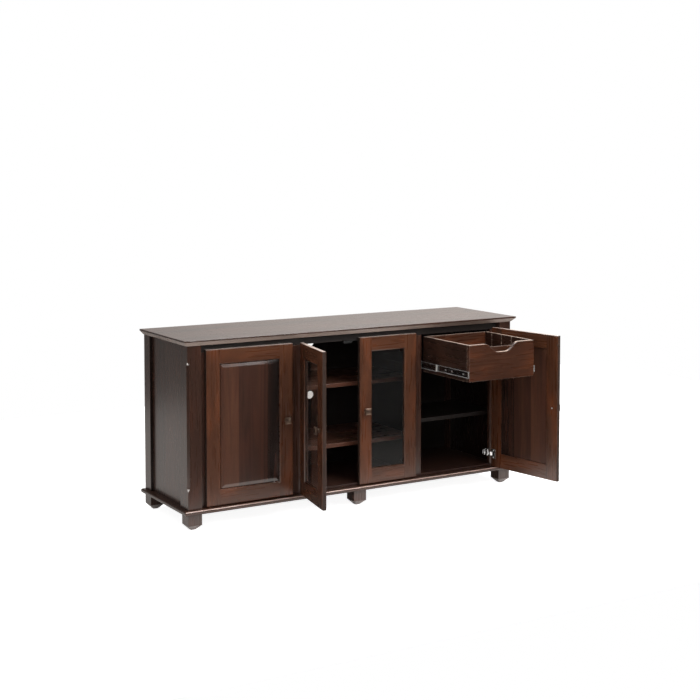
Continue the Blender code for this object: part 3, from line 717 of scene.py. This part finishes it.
@contextmanager
def editing(piece: Piece, pick: Pick, test: Test) -> Iterator[None]:
    """Opens a piece in edit mode with some of its faces or edges selected.

    Args:
        piece: The piece.
        pick: Whether faces or edges are picked.
        test: Takes a face's centre and normal, or an edge's middle and direction, and says if it is picked.

    Yields:
        Nothing; the operators inside act on the selection.
    """
    select_only(piece)
    mesh = piece.data
    bpy.context.tool_settings.mesh_select_mode = pick.value
    for parts in (mesh.vertices, mesh.edges, mesh.polygons):
        parts.foreach_set("select", [False] * len(parts))
    if pick is Pick.FACES:
        for face in mesh.polygons:
            face.select = test(face.center, face.normal)
    else:
        for edge in mesh.edges:
            first, second = (mesh.vertices[index].co for index in edge.vertices)
            edge.select = test((first + second) / 2, (second - first).normalized())
    bpy.ops.object.mode_set(mode="EDIT")
    yield
    bpy.ops.object.mode_set(mode="OBJECT")


def bevel(piece: Piece, width: float, steps: int, test: Test = lambda middle, way: True) -> None:
    """Rounds a piece's edges, or those that a test picks by their middle and direction."""
    with editing(piece, Pick.EDGES, test):
        bpy.ops.mesh.bevel(offset=width, segments=steps, affect="EDGES")


def push(move: Sequence[float]) -> None:
    """Extrudes the selected faces by a move."""
    bpy.ops.mesh.extrude_region_move(TRANSFORM_OT_translate={"value": tuple(move)})


def repeat(master: Piece, name: str, places: Sequence[Matrix]) -> Piece:
    """Copies a piece to several places and joins the copies into one piece.

    Args:
        master: The piece, modelled at the origin, which is used up.
        name: The joined piece's name.
        places: Where the copies go.

    Returns:
        The joined piece.
    """
    copies = []
    for place in places:
        select_only(master)
        bpy.ops.object.duplicate(linked=False)
        copy = bpy.context.active_object
        copy.matrix_world = place
        copies.append(copy)
    bpy.data.objects.remove(master)
    settle(*copies)
    if len(copies) > 1:
        bpy.ops.object.join()
    copies[0].name = name
    return copies[0]


def soften(piece: Piece, degrees: float = 35.0) -> None:
    """Shades a piece smooth where its faces meet at less than an angle."""
    select_only(piece)
    bpy.ops.object.shade_smooth_by_angle(angle=math.radians(degrees))


def facing(place: Sequence[float], direction: Sequence[float]) -> Matrix:
    """Gives the move that stands a piece on a point and turns its Z axis to a direction."""
    turn = Vector(direction).to_track_quat("Z", "Y").to_matrix().to_4x4()
    return Matrix.Translation(place) @ turn


def screws(name: str, radius: float, height: float, places: Sequence[Matrix]) -> Piece:
    """Models a domed screw head with a sunk drive, and repeats it.

    Args:
        name: The piece's name.
        radius: A head's radius.
        height: Its height.
        places: Where the heads stand.

    Returns:
        The piece.
    """
    dome, rim, drive = height * 0.7, radius * 0.12, height * 0.5
    head = drum(name, radius, height, sides=16)
    bevel(head, dome, steps=3, test=lambda middle, way: middle.z > height * NEARLY)
    with editing(head, Pick.FACES, lambda centre, normal: normal.z > EXACTLY):
        bpy.ops.mesh.inset(thickness=rim, depth=0.0)
        push((0.0, 0.0, -drive))
    soften(head)
    return repeat(head, name, places)


def finish_node(node: str, material: Material) -> None:
    """Gives a CAD node a better material.

    Args:
        node: The node's name.
        material: What it is finished in.
    """
    mesh = bpy.data.objects[node].data
    mesh.materials.clear()
    mesh.materials.append(material)
    LOG.info("finished %s in %s", node, material.name)


def fit(
    piece: Piece, material: Material, body: str, swing: Swing | None = None,
) -> None:
    """Finishes a new piece and lets it ride on a body.

    Args:
        piece: The piece.
        material: What it is finished in.
        body: The CAD body that it moves with.
        swing: Where the door stands that the piece was drawn closed on, if there is one.
    """
    if swing:
        piece.matrix_world = swing.matrix @ piece.matrix_world
        settle(piece)
    piece.data.materials.clear()
    piece.data.materials.append(material)
    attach(piece, body)
    LOG.info("fitted %s on %s", piece.name, body)


@dataclass
class Case:
    """The fixed cabinet: its boards, and the fasteners on its back and under its shelves."""

    body: str = "cabinet"
    support_length: float = 0.012
    support_width: float = 0.010
    support_drop: float = 0.008
    support_sheet: float = 0.0016
    support_inset: float = 0.045
    support_edge: float = 0.0005
    back_screw: float = 0.0038
    back_screw_height: float = 0.0022
    back_screw_edge: float = 0.012
    back_screw_rows: int = 5
    # The end panels' inner faces, within this distance of the middle, are darkened as painted shade
    end_middle: float = 0.870
    ends: tuple[str, ...] = ("left_side_panel", "right_side_panel")
    end_shelves: tuple[str, ...] = ("left_shelf", "right_shelf")
    centre_shelves: tuple[str, ...] = ("centre_lower_shelf", "centre_upper_shelf")

    def build(self) -> None:
        """Finishes the boards and adds the small fittings."""
        feet = [f"{row}_{side}_foot" for row in ("front", "rear") for side in ("left", "centre", "right")]
        places = ("left_outer", "left_inner", "right_inner", "right_outer")
        stiles = [f"frame_{place}_stile" for place in places]
        boards = (
            (POST_WOOD, Run.STILE, ("front_left_post", "front_right_post")),
            (REAR_POST_WOOD, Run.STILE, ("rear_left_post", "rear_right_post")),
            (FOOT_WOOD, Run.STILE, feet),
            (TOP_WOOD, Run.FLAT, ("top_board",)),
            (BASE_WOOD, Run.FLAT, ("base_board",)),
            # The floor and inner woods are darkened copies and the shelf wood a lightened one: painted shade
            # inside the case, painted light on the centre shelves
            (FLOOR_WOOD, Run.FLAT, ("cabinet_floor",)),
            (CASE_WOOD, Run.STILE, stiles),
            (CASE_WOOD, Run.RUNNER, ("slide_rail",)),
            (INNER_WOOD, Run.RAIL, ("frame_top_rail",)),
            (INNER_WOOD, Run.GABLE, ("left_divider", "right_divider")),
            (INNER_WOOD, Run.STILE, ("back_panel",)),
            (INNER_WOOD, Run.FLAT, self.end_shelves),
            (SHELF_WOOD, Run.FLAT, self.centre_shelves),
        )
        for wood, run, nodes in boards:
            for node in nodes:
                finish_node(node, wood.material(node, run))
        for node in self.ends:
            finish_node(node, BOARD_WOOD.material(node, Run.GABLE, inside=self.end_middle))
        finish_node("door_catch", CATCH_PLASTIC.material("door_catch"))
        for shelf in self.end_shelves + self.centre_shelves:
            self.add_supports(shelf)
        self.add_back_screws()

    def add_supports(self, shelf: str) -> None:
        """Adds the four bent metal supports under a shelf.

        Args:
            shelf: The shelf's node.
        """
        low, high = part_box(shelf)
        half, sheet = self.support_width / 2, self.support_sheet
        past_bend, below_bend = sheet * 1.2, sheet * -2.0
        master = block("support", (0.0, -half, -sheet), (self.support_length, half, 0.0))
        with editing(master, Pick.FACES, lambda centre, normal: True):
            bpy.ops.mesh.bisect(plane_co=(sheet, 0.0, 0.0), plane_no=(1.0, 0.0, 0.0))
        with editing(master, Pick.FACES, lambda centre, normal: normal.z < -NEARLY and centre.x < sheet):
            push((0.0, 0.0, -self.support_drop))
        bevel(
            master, self.support_edge, steps=2,
            test=lambda middle, way: middle.x > past_bend or middle.z < below_bend,
        )
        places = []
        for y in (low.y + self.support_inset, high.y - self.support_inset):
            for x, degrees in ((low.x, 0.0), (high.x, 180.0)):
                turn = Matrix.Rotation(math.radians(degrees), 4, "Z")
                places.append(Matrix.Translation((x, y, low.z - HAIR)) @ turn)
        piece = repeat(master, f"{shelf}_supports", places)
        soften(piece)
        fit(piece, ZINC.material(piece.name), self.body)

    def add_back_screws(self) -> None:
        """Adds the screws that hold the back panel to the case and the dividers."""
        low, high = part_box("back_panel")
        edge, last = self.back_screw_edge, self.back_screw_rows - 1
        divider = sum(corner.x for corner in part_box("right_divider")) / 2
        span = high.z - low.z - 2 * edge
        rows = [low.z + edge + span * row / last for row in range(self.back_screw_rows)]
        places = [(x, z) for x in (low.x + edge, -divider, divider, high.x - edge) for z in rows]
        for x in ((low.x - divider) / 2, 0.0, (high.x + divider) / 2):
            places += [(x, rows[0]), (x, rows[-1])]
        moves = [facing((x, high.y, z), BACK) for x, z in places]
        piece = screws("back_screws", self.back_screw, self.back_screw_height, moves)
        fit(piece, STEEL.material(piece.name), self.body)


@dataclass
class Door:
    """One door, drawn closed in its own frame: X runs from its hinge line and Y back from its face."""

    name: str
    side: Side
    degrees: float
    hinge: float
    width: float
    glazed: bool = False
    planks: tuple[Plank, ...] = ()
    face_y: float = -0.0275
    thickness: float = 0.0195
    bottom: float = 0.0965
    top: float = 0.8047
    stile: float = 0.069
    bottom_rail: float = 0.072
    # The raised panel's tongue, and its border as steps inwards and outwards
    tongue: float = 0.0078
    tongue_depth: float = 0.0060
    tongue_lap: float = 0.0077
    quirk: float = 0.0026
    border: tuple[Range, ...] = ((0.0008, 0.0024), (0.0130, 0.0030), (0.0030, 0.0004))
    # The knob's outline from the door outwards, as shares of its length and of its size
    knob_size: float = 0.031
    knob_length: float = 0.0270
    knob_edge: float = 0.0007
    knob_smooth: float = 25.0
    knob_outline: tuple[Range, ...] = (
        (0.10, 0.60), (0.26, 0.40), (0.50, 0.38), (0.60, 0.94),
        (0.66, 1.0), (0.86, 1.0), (0.93, 0.90), (1.0, 0.24),
    )
    screw: float = 0.0042
    screw_height: float = 0.0024
    bead: float = 0.0038
    bead_inset: float = 0.0012
    bead_round: float = 0.7
    bead_reach: float = 0.75
    glass_back: float = 0.0129
    # The felt dots, and how far they are from the free edge, the bottom and the top
    dot: float = 0.003
    dot_height: float = 0.0004
    dot_round: float = 0.00016
    glazed_dots: Triple = (0.022, 0.004, 0.006)
    panelled_dots: Triple = (0.0034, 0.045, 0.045)

    @property
    def hinge_x(self) -> float:
        """The X of the hinge line."""
        return self.side.value * self.hinge

    @property
    def swing(self) -> Swing:
        """Where the door stands."""
        return Swing(self.hinge_x, self.face_y, self.side.value * self.degrees)

    @property
    def knob_place(self) -> Vector:
        """The middle of the knob on the door's face."""
        return Vector((self.along(self.width - self.stile / 2), 0.0, (self.bottom + self.top) / 2))

    def along(self, distance: float) -> float:
        """Gives the X of a point at a distance from the hinge line."""
        return -self.side.value * distance

    @property
    def joints(self) -> FrameJoints:
        """The joints of the door's frame."""
        return FrameJoints(self.opening[0], self.width)

    @property
    def opening(self) -> tuple[Range, Range]:
        """The opening inside the frame, across and upright."""
        across = sorted((self.along(self.stile), self.along(self.width - self.stile)))
        return (across[0], across[1]), (self.bottom + self.bottom_rail, self.top - self.stile)

    def build(self) -> None:
        """Finishes the door and adds its knob and small fittings."""
        frame, pane = f"{self.name}_frame", f"{self.name}_pane"
        finish_node(frame, DOOR_WOOD.material(frame, Run.STILE, self.swing, self.joints))
        if self.glazed:
            finish_node(pane, GLASS.material(pane, self.swing))
            self.add_bead()
        else:
            self.add_panel()
        self.add_knob()
        self.add_knob_screw()
        self.add_dots()

    def add_panel(self) -> None:
        """Models the raised panel: a tongue in the frame's groove and a border that rises to the field."""
        across, upright = self.opening
        name, lap = f"{self.name}_raised_panel", self.tongue_lap
        low = (across[0] - lap, self.tongue, upright[0] - lap)
        panel = block(name, low, (across[1] + lap, self.tongue + self.tongue_depth, upright[1] + lap))
        with editing(panel, Pick.FACES, lambda centre, normal: normal.y < -NEARLY):
            bpy.ops.mesh.inset(thickness=lap + self.quirk, depth=0.0)
            for inward, rise in self.border:
                bpy.ops.mesh.inset(thickness=inward, depth=rise)
        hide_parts(f"{self.name}_panel")
        finish = PANEL_WOOD.material(name, Run.STILE, self.swing, planks=self.planks)
        fit(panel, finish, self.name, self.swing)

    def add_knob(self) -> None:
        """Models the square knob: a rose, a waisted neck and a head with a low four-sided point."""
        name, length = f"{self.name}_cast_knob", self.knob_length
        at, wide = self.knob_outline[0]
        rose = self.knob_size / 2 * wide
        knob = block(name, (-rose, -length * at, -rose), (rose, -FIT, rose))
        with editing(knob, Pick.FACES, lambda centre, normal: normal.y < -NEARLY):
            for out, share in self.knob_outline[1:]:
                push((0.0, -length * (out - at), 0.0))
                scale = share / wide
                bpy.ops.transform.resize(value=(scale, 1.0, scale), center_override=(0.0, -length * out, 0.0))
                at, wide = out, share
        bevel(knob, self.knob_edge, steps=2, test=lambda middle, way: abs(way.y) < NEARLY)
        knob.location = self.knob_place
        settle(knob)
        soften(knob, self.knob_smooth)
        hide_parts(f"{self.name}_knob")
        fit(knob, PEWTER.material(name, self.swing), self.name, self.swing)

    def add_knob_screw(self) -> None:
        """Adds the screw that holds the knob, on the door's inner face."""
        place = facing(self.knob_place + Vector((0.0, self.thickness, 0.0)), BACK)
        piece = screws(f"{self.name}_knob_screw", self.screw, self.screw_height, [place])
        fit(piece, STEEL.material(piece.name, self.swing), self.name, self.swing)

    def add_dots(self) -> None:
        """Adds two felt dots on the inner face, where the free edge meets the case."""
        height = self.dot_height
        inset, above, below = self.glazed_dots if self.glazed else self.panelled_dots
        master = drum("dot", self.dot, height, sides=18)
        bevel(master, self.dot_round, steps=2, test=lambda middle, way: middle.z > height * NEARLY)
        x = self.along(self.width - inset)
        places = [facing((x, self.thickness, z), BACK) for z in (self.bottom + above, self.top - below)]
        piece = repeat(master, f"{self.name}_bumpers", places)
        fit(piece, FELT.material(piece.name, self.swing), self.name, swing=self.swing)

    def add_bead(self) -> None:
        """Adds the mitred bead that holds the pane from behind."""
        across, upright = self.opening
        name, back = f"{self.name}_bead", self.thickness - self.bead_inset
        low = (across[0] + HAIR, self.glass_back, upright[0] + HAIR)
        bead = block(name, low, (across[1] - HAIR, back, upright[1] - HAIR))
        with editing(bead, Pick.FACES, lambda centre, normal: abs(normal.y) > NEARLY):
            bpy.ops.mesh.inset(thickness=self.bead, depth=0.0)
            bpy.ops.mesh.bridge_edge_loops()
        middle = Vector((sum(across) / 2, back, sum(upright) / 2))
        reach = self.bead * self.bead_reach
        half_x, half_z = across[1] - middle.x - reach, upright[1] - middle.z - reach

        def on_inner_back(spot: Vector, way: Vector) -> bool:
            """Tells the edges round the bead's opening, on its back, from the others."""
            away = spot - middle
            return abs(away.x) < half_x and abs(away.z) < half_z and abs(away.y) < HAIR

        bevel(bead, self.bead * self.bead_round, steps=4, test=on_inner_back)
        soften(bead)
        finish = BEAD_WOOD.material(name, Run.STILE, self.swing, self.joints)
        fit(bead, finish, self.name, self.swing)


@dataclass
class HingePair:
    """A door's two concealed hinges: the arms that turn with it, their screws and the blocks on the frame."""

    door: Door
    overlay: float = 0.012
    frame_back: float = 0.0128
    from_end: float = 0.066
    block_reach: float = 0.0165
    block_lap: float = 0.010
    block_depth: float = 0.020
    block_height: float = 0.030
    block_round: float = 0.0022
    block_rim: float = 0.004
    block_sink: float = 0.002
    barrel_x: float = 0.0053
    barrel_y: float = -0.0005
    plate_u: float = 0.0478
    plate_v: float = 0.0098
    screw: float = 0.0036
    screw_height: float = 0.0014
    screw_rise: float = 0.017

    @property
    def frame_edge(self) -> float:
        """The X of the face frame's edge behind the door's hinge side."""
        return self.door.hinge_x - self.door.side.value * self.overlay

    @property
    def heights(self) -> Range:
        """The heights of the lower and the upper hinge."""
        return self.door.bottom + self.from_end, self.door.top - self.from_end

    def build(self) -> None:
        """Finishes the arms and adds their screws and blocks."""
        for label, height in zip(("lower", "upper"), self.heights):
            node = f"{self.door.name}_{label}_hinge"
            finish_node(node, ZINC.material(node, self.door.swing))
            self.add_block(f"{node}_block", height)
        self.add_screws()

    def add_block(self, name: str, height: float) -> None:
        """Adds the mounting block behind the frame's inner edge.

        Args:
            name: The block's name.
            height: The height of its middle.
        """
        side, half = self.door.side.value, self.block_height / 2
        x = sorted((self.frame_edge - side * self.block_reach, self.frame_edge + side * self.block_lap))
        low = (x[0], self.frame_back, height - half)
        piece = block(name, low, (x[1], self.frame_back + self.block_depth, height + half))
        bevel(piece, self.block_round, steps=3)
        with editing(piece, Pick.FACES, lambda centre, normal: normal.x * side < -EXACTLY):
            bpy.ops.mesh.inset(thickness=self.block_rim, depth=0.0)
            push((side * self.block_sink, 0.0, 0.0))
        soften(piece)
        fit(piece, ZINC.material(name), "cabinet")

    def add_screws(self) -> None:
        """Adds two screws on each hinge plate."""
        side = self.door.side.value
        barrel = Swing(self.frame_edge - side * self.barrel_x, self.barrel_y, side * self.door.degrees).matrix
        places = []
        for height in self.heights:
            for rise in (-self.screw_rise, self.screw_rise):
                places.append(barrel @ facing((-side * self.plate_u, self.plate_v, height + rise), BACK))
        piece = screws(f"{self.door.name}_hinge_screws", self.screw, self.screw_height, places)
        fit(piece, STEEL.material(piece.name), f"{self.door.name}_hinge_arms")


@dataclass
class Drawer:
    """The drawer box, pulled out on its slides, with one loose divider in its slots."""

    body: str = "drawer"
    divider_y: float = -0.3038
    divider_thickness: float = 0.0050
    divider_top: float = 0.754
    divider_lap: float = 0.0026
    divider_round: float = 0.0014

    def build(self) -> None:
        """Finishes the boards and stands the divider in the front pair of slots."""
        for label in ("front", "back"):
            finish_node(f"drawer_{label}", DRAWER_WOOD.material(label, Run.RAIL))
        for label in ("left_side", "right_side"):
            finish_node(f"drawer_{label}", DRAWER_SIDE.material(label, Run.RUNNER))
        finish_node("drawer_bottom", DRAWER_FLOOR.material("drawer_bottom", Run.FLAT))
        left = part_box("drawer_left_side")[1].x - self.divider_lap
        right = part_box("drawer_right_side")[0].x + self.divider_lap
        half, top = self.divider_thickness / 2, self.divider_top
        low = (left, self.divider_y - half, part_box("drawer_bottom")[1].z + FIT)
        piece = block("drawer_divider", low, (right, self.divider_y + half, top))
        bevel(
            piece, self.divider_round, steps=3,
            test=lambda middle, way: middle.z > top - HAIR and abs(way.x) > NEARLY,
        )
        soften(piece)
        fit(piece, DRAWER_WOOD.material(piece.name, Run.RAIL), self.body)


@dataclass
class Slide:
    """A ball-bearing slide beside the drawer, with its screws, its ball retainer and its stop."""

    side: Side
    channels: tuple[str, ...] = ("cabinet_channel", "middle_channel", "drawer_channel")
    slots: tuple[float, ...] = (0.045, 0.137, 0.189, 0.330)
    drawer_front: float = -0.3855
    web: float = 0.0012
    screw: float = 0.0034
    screw_height: float = 0.0014
    retainer_length: float = 0.007
    retainer_inset: float = 0.0012
    retainer_cuts: Range = (0.25, 0.75)
    stop_length: float = 0.0030
    stop_inset: float = 0.0018
    stop_round: float = 0.0006

    @property
    def name(self) -> str:
        """What the names of the slide's pieces start with."""
        return f"slide_{self.side.name.lower()}"

    def build(self) -> None:
        """Finishes the channels and adds the small fittings."""
        for channel in self.channels:
            node = f"{self.name}_{channel}"
            finish_node(node, SLIDE_STEEL.material(node))
        self.add_screws()
        self.add_retainer()
        self.add_stop()

    def add_screws(self) -> None:
        """Adds the screws in the slots of the drawer channel."""
        low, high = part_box(f"{self.name}_drawer_channel")
        side = self.side.value
        x = (high.x if self.side is Side.LEFT else low.x) + side * self.web
        height = (low.z + high.z) / 2
        places = [facing((x, self.drawer_front + slot, height), (side, 0.0, 0.0)) for slot in self.slots]
        piece = screws(f"{self.name}_screws", self.screw, self.screw_height, places)
        fit(piece, SLIDE_STEEL.material(piece.name), "drawer")

    def add_retainer(self) -> None:
        """Adds the ball retainer on the front end of the running channel."""
        low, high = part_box(f"{self.name}_middle_channel")
        name, inset = f"{self.name}_retainer", self.retainer_inset
        near = (low.x + inset, low.y - self.retainer_length, low.z + inset)
        piece = block(name, near, (high.x - inset * 2, low.y - HAIR, high.z - inset))
        with editing(piece, Pick.FACES, lambda centre, normal: True):
            for share in self.retainer_cuts:
                height = low.z + share * (high.z - low.z)
                bpy.ops.mesh.bisect(plane_co=(0.0, 0.0, height), plane_no=(0.0, 0.0, 1.0))
        bevel(piece, inset, steps=2, test=lambda middle, way: abs(way.x) > NEARLY)
        soften(piece)
        fit(piece, NYLON.material(name), "slide_middles")

    def add_stop(self) -> None:
        """Adds the bright stop in the front end of the drawer channel."""
        low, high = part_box(f"{self.name}_drawer_channel")
        name, inset = f"{self.name}_stop", self.stop_inset
        near = (low.x + inset, low.y + HAIR, low.z + inset)
        piece = block(name, near, (high.x - inset, low.y + self.stop_length, high.z - inset))
        bevel(piece, self.stop_round, steps=2)
        soften(piece)
        fit(piece, NYLON.material(name), "drawer")


@dataclass(frozen=True)
class Lamp:
    """A soft rectangular lamp: where it stands, what it points at, its width and height, and its watts."""

    name: str
    place: Triple
    target: Triple
    size: Range
    watts: float

    def build(self) -> None:
        """Adds the lamp to the scene."""
        data = bpy.data.lights.new(self.name, "AREA")
        data.shape = "RECTANGLE"
        data.size, data.size_y = self.size
        data.energy = self.watts
        lamp = bpy.data.objects.new(self.name, data)
        lamp.location = self.place
        lamp.rotation_euler = (Vector(self.target) - Vector(self.place)).to_track_quat("-Z", "Y").to_euler()
        bpy.context.scene.collection.objects.link(lamp)


@dataclass
class Studio:
    """A sheet of white paper, a white backdrop, soft lamps and the camera."""

    eye: Triple = (-3.30356, -5.4344, 1.65254)
    yaw: float = 0.5413
    pitch: float = 0.05886
    lens: float = 69.0755
    rise: float = -0.16
    # The paper, and how bright it is to the camera
    sheet_x: Range = (-2.5, 4.0)
    sheet_y: Range = (-1.7, 2.9)
    sheet_z: float = -0.0005
    paper: Triple = (0.80, 0.80, 0.80)
    lift: float = 0.90
    # The paper in reflections: behind the front, near it and far before it, and its shade under the console
    sheen: float = 0.85
    near_sheen: float = 2.0
    near: Range = (-0.66, -0.20)
    far_sheen: float = 0.22
    far: Range = (-1.7, -0.7)
    under_x: Range = (0.95, 0.82)
    under_y: Range = (-0.12, 0.02)
    under_shade: float = 0.9
    # The world: its even light, the dim room, and the lit walls in reflections and through the glass
    fill: float = 0.20
    room: float = 0.04
    backdrop: float = 1.03
    backdrop_turn: float = 19.0
    backdrop_span: Range = (0.72, 0.985)
    side: float = 0.22
    side_turn: float = -62.0
    side_span: Range = (0.75, 0.99)
    beyond_span: Range = (0.2, 0.7)
    tint: Triple = (1.0, 0.945, 0.90)
    lamps: tuple[Lamp, ...] = (
        Lamp("key softbox", (1.0, -2.5, 3.5), (0.0, 0.1, 0.45), (2.6, 1.5), 100.0),
        Lamp("edge strip", (0.8, -1.5, 2.7), (0.0, -0.05, 0.4), (4.8, 0.3), 36.0),
        Lamp("low softbox", (1.90, -3.85, 2.25), (-0.5, 0.0, 0.7), (0.7, 1.0), 30.0),
        Lamp("fill softbox", (-2.6, -3.6, 1.9), (0.0, 0.0, 0.45), (2.2, 2.2), 45.0),
        Lamp("rim strip", (0.0, 1.3, 2.9), (0.0, 0.0, 0.5), (3.4, 0.4), 70.0),
    )

    def build(self) -> None:
        """Sets up the whole studio."""
        bpy.context.scene.view_settings.view_transform = "Standard"
        self.add_camera()
        self.add_floor()
        self.add_world()
        for lamp in self.lamps:
            lamp.build()

    def add_camera(self) -> None:
        """Stands the camera where the photograph was taken."""
        data = bpy.data.cameras.new("camera")
        data.lens = self.lens
        data.shift_y = self.rise
        camera = bpy.data.objects.new("camera", data)
        camera.location = self.eye
        camera.rotation_euler = (math.pi / 2 - self.pitch, 0.0, -self.yaw)
        bpy.context.scene.collection.objects.link(camera)
        bpy.context.scene.camera = camera

    def add_floor(self) -> None:
        """Lays a sheet of white paper, which looks white to the camera and still takes the shadow."""
        select_only()
        middle = (sum(self.sheet_x) / 2, sum(self.sheet_y) / 2, self.sheet_z)
        bpy.ops.mesh.primitive_plane_add(size=1.0, location=middle)
        floor = bpy.context.active_object
        floor.scale = (self.sheet_x[1] - self.sheet_x[0], self.sheet_y[1] - self.sheet_y[0], 1.0)
        take("paper_floor")
        made, graph = Graph.material("white paper")
        paper = graph.add("BsdfDiffuse", (*self.paper, 1.0)).outputs[0]
        glow = graph.add("Emission", Strength=self.lift).outputs[0]
        lifted = graph.add("AddShader", paper, glow).outputs[0]
        mirrored = graph.add("Emission", (*self.tint, 1.0), self.mirrored_level(graph)).outputs[0]
        straight = graph.math("MAXIMUM", graph.ray("Camera"), graph.ray("Transmission"))
        surface = graph.add("MixShader", straight, paper, lifted).outputs[0]
        surface = graph.add("MixShader", graph.ray("Glossy"), surface, mirrored).outputs[0]
        graph.add("OutputMaterial", surface)
        floor.data.materials.append(made)

    def mirrored_level(self, graph: Graph) -> Socket:
        """Gives how bright each point of the paper is in reflections.

        Args:
            graph: The paper's graph.

        Returns:
            The strength.
        """
        across, away = graph.add("SeparateXYZ", graph.add("TexCoord").outputs["Object"]).outputs[:2]
        front = graph.math("MULTIPLY", graph.step(away, self.near), self.near_sheen)
        front = graph.math("MULTIPLY_ADD", graph.step(away, self.far), self.far_sheen, front)
        behind = graph.step(away, self.under_y)
        under = graph.math("MULTIPLY", graph.step(graph.math("ABSOLUTE", across), self.under_x), behind)
        shade = graph.math("MULTIPLY_ADD", under, -self.under_shade, 1.0)
        return graph.math("MULTIPLY", graph.mix(behind, front, self.sheen), shade)

    def towards(self, graph: Graph, degrees: float, span: Range) -> Socket:
        """Gives 1 for rays that go one way and 0 for others.

        Args:
            graph: The world's graph.
            degrees: How far the way is turned to the right of the camera's.
            span: Where the step starts and ends, as cosines of the angle to that way.

        Returns:
            The mask.
        """
        turn = self.yaw + math.radians(degrees)
        ray = graph.add("TexCoord").outputs["Generated"]
        return graph.step(graph.vector("DOT_PRODUCT", ray, (math.sin(turn), math.cos(turn), 0.0)), span)

    def add_world(self) -> None:
        """Surrounds the console with a white backdrop that fades to a dim room behind the camera."""
        world = bpy.data.worlds.new("studio")
        bpy.context.scene.world = world
        world.use_nodes = True
        graph = Graph(world.node_tree)
        wall = self.towards(graph, self.backdrop_turn, self.backdrop_span)
        side_wall = self.towards(graph, self.side_turn, self.side_span)
        backdrop = graph.mix(wall, self.room, self.backdrop)
        backdrop = graph.math("MULTIPLY_ADD", side_wall, self.side, backdrop)
        beyond = graph.mix(self.towards(graph, 0.0, self.beyond_span), self.room, 1.0)
        glossy = graph.ray("Glossy")
        level = graph.mix(glossy, self.fill, backdrop)
        level = graph.mix(graph.ray("Transmission"), level, beyond)
        level = graph.mix(graph.ray("Camera"), level, 1.0)
        light = graph.add("Background", graph.mix(glossy, WHITE, self.tint), level)
        graph.add("OutputWorld", light.outputs[0])


def main() -> None:
    """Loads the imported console, dresses it and sets up the studio."""
    logging.basicConfig(level=logging.INFO, format="%(message)s")
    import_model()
    Studio().build()
    Case().build()
    left = Door("left_door", Side.LEFT, degrees=0.0, hinge=0.7987, width=0.4382, planks=LEFT_PLANKS)
    left_glass = Door("left_glass_door", Side.LEFT, degrees=101.0, hinge=0.325, width=0.3235, glazed=True)
    right_glass = replace(left_glass, name="right_glass_door", side=Side.RIGHT, degrees=0.0)
    right = replace(left, name="right_door", side=Side.RIGHT, degrees=99.0, planks=RIGHT_PLANKS)
    for door in (left, left_glass, right_glass, right):
        door.build()
        HingePair(door).build()
    Drawer().build()
    for side in Side:
        Slide(side).build()


if __name__ == "__main__":
    main()
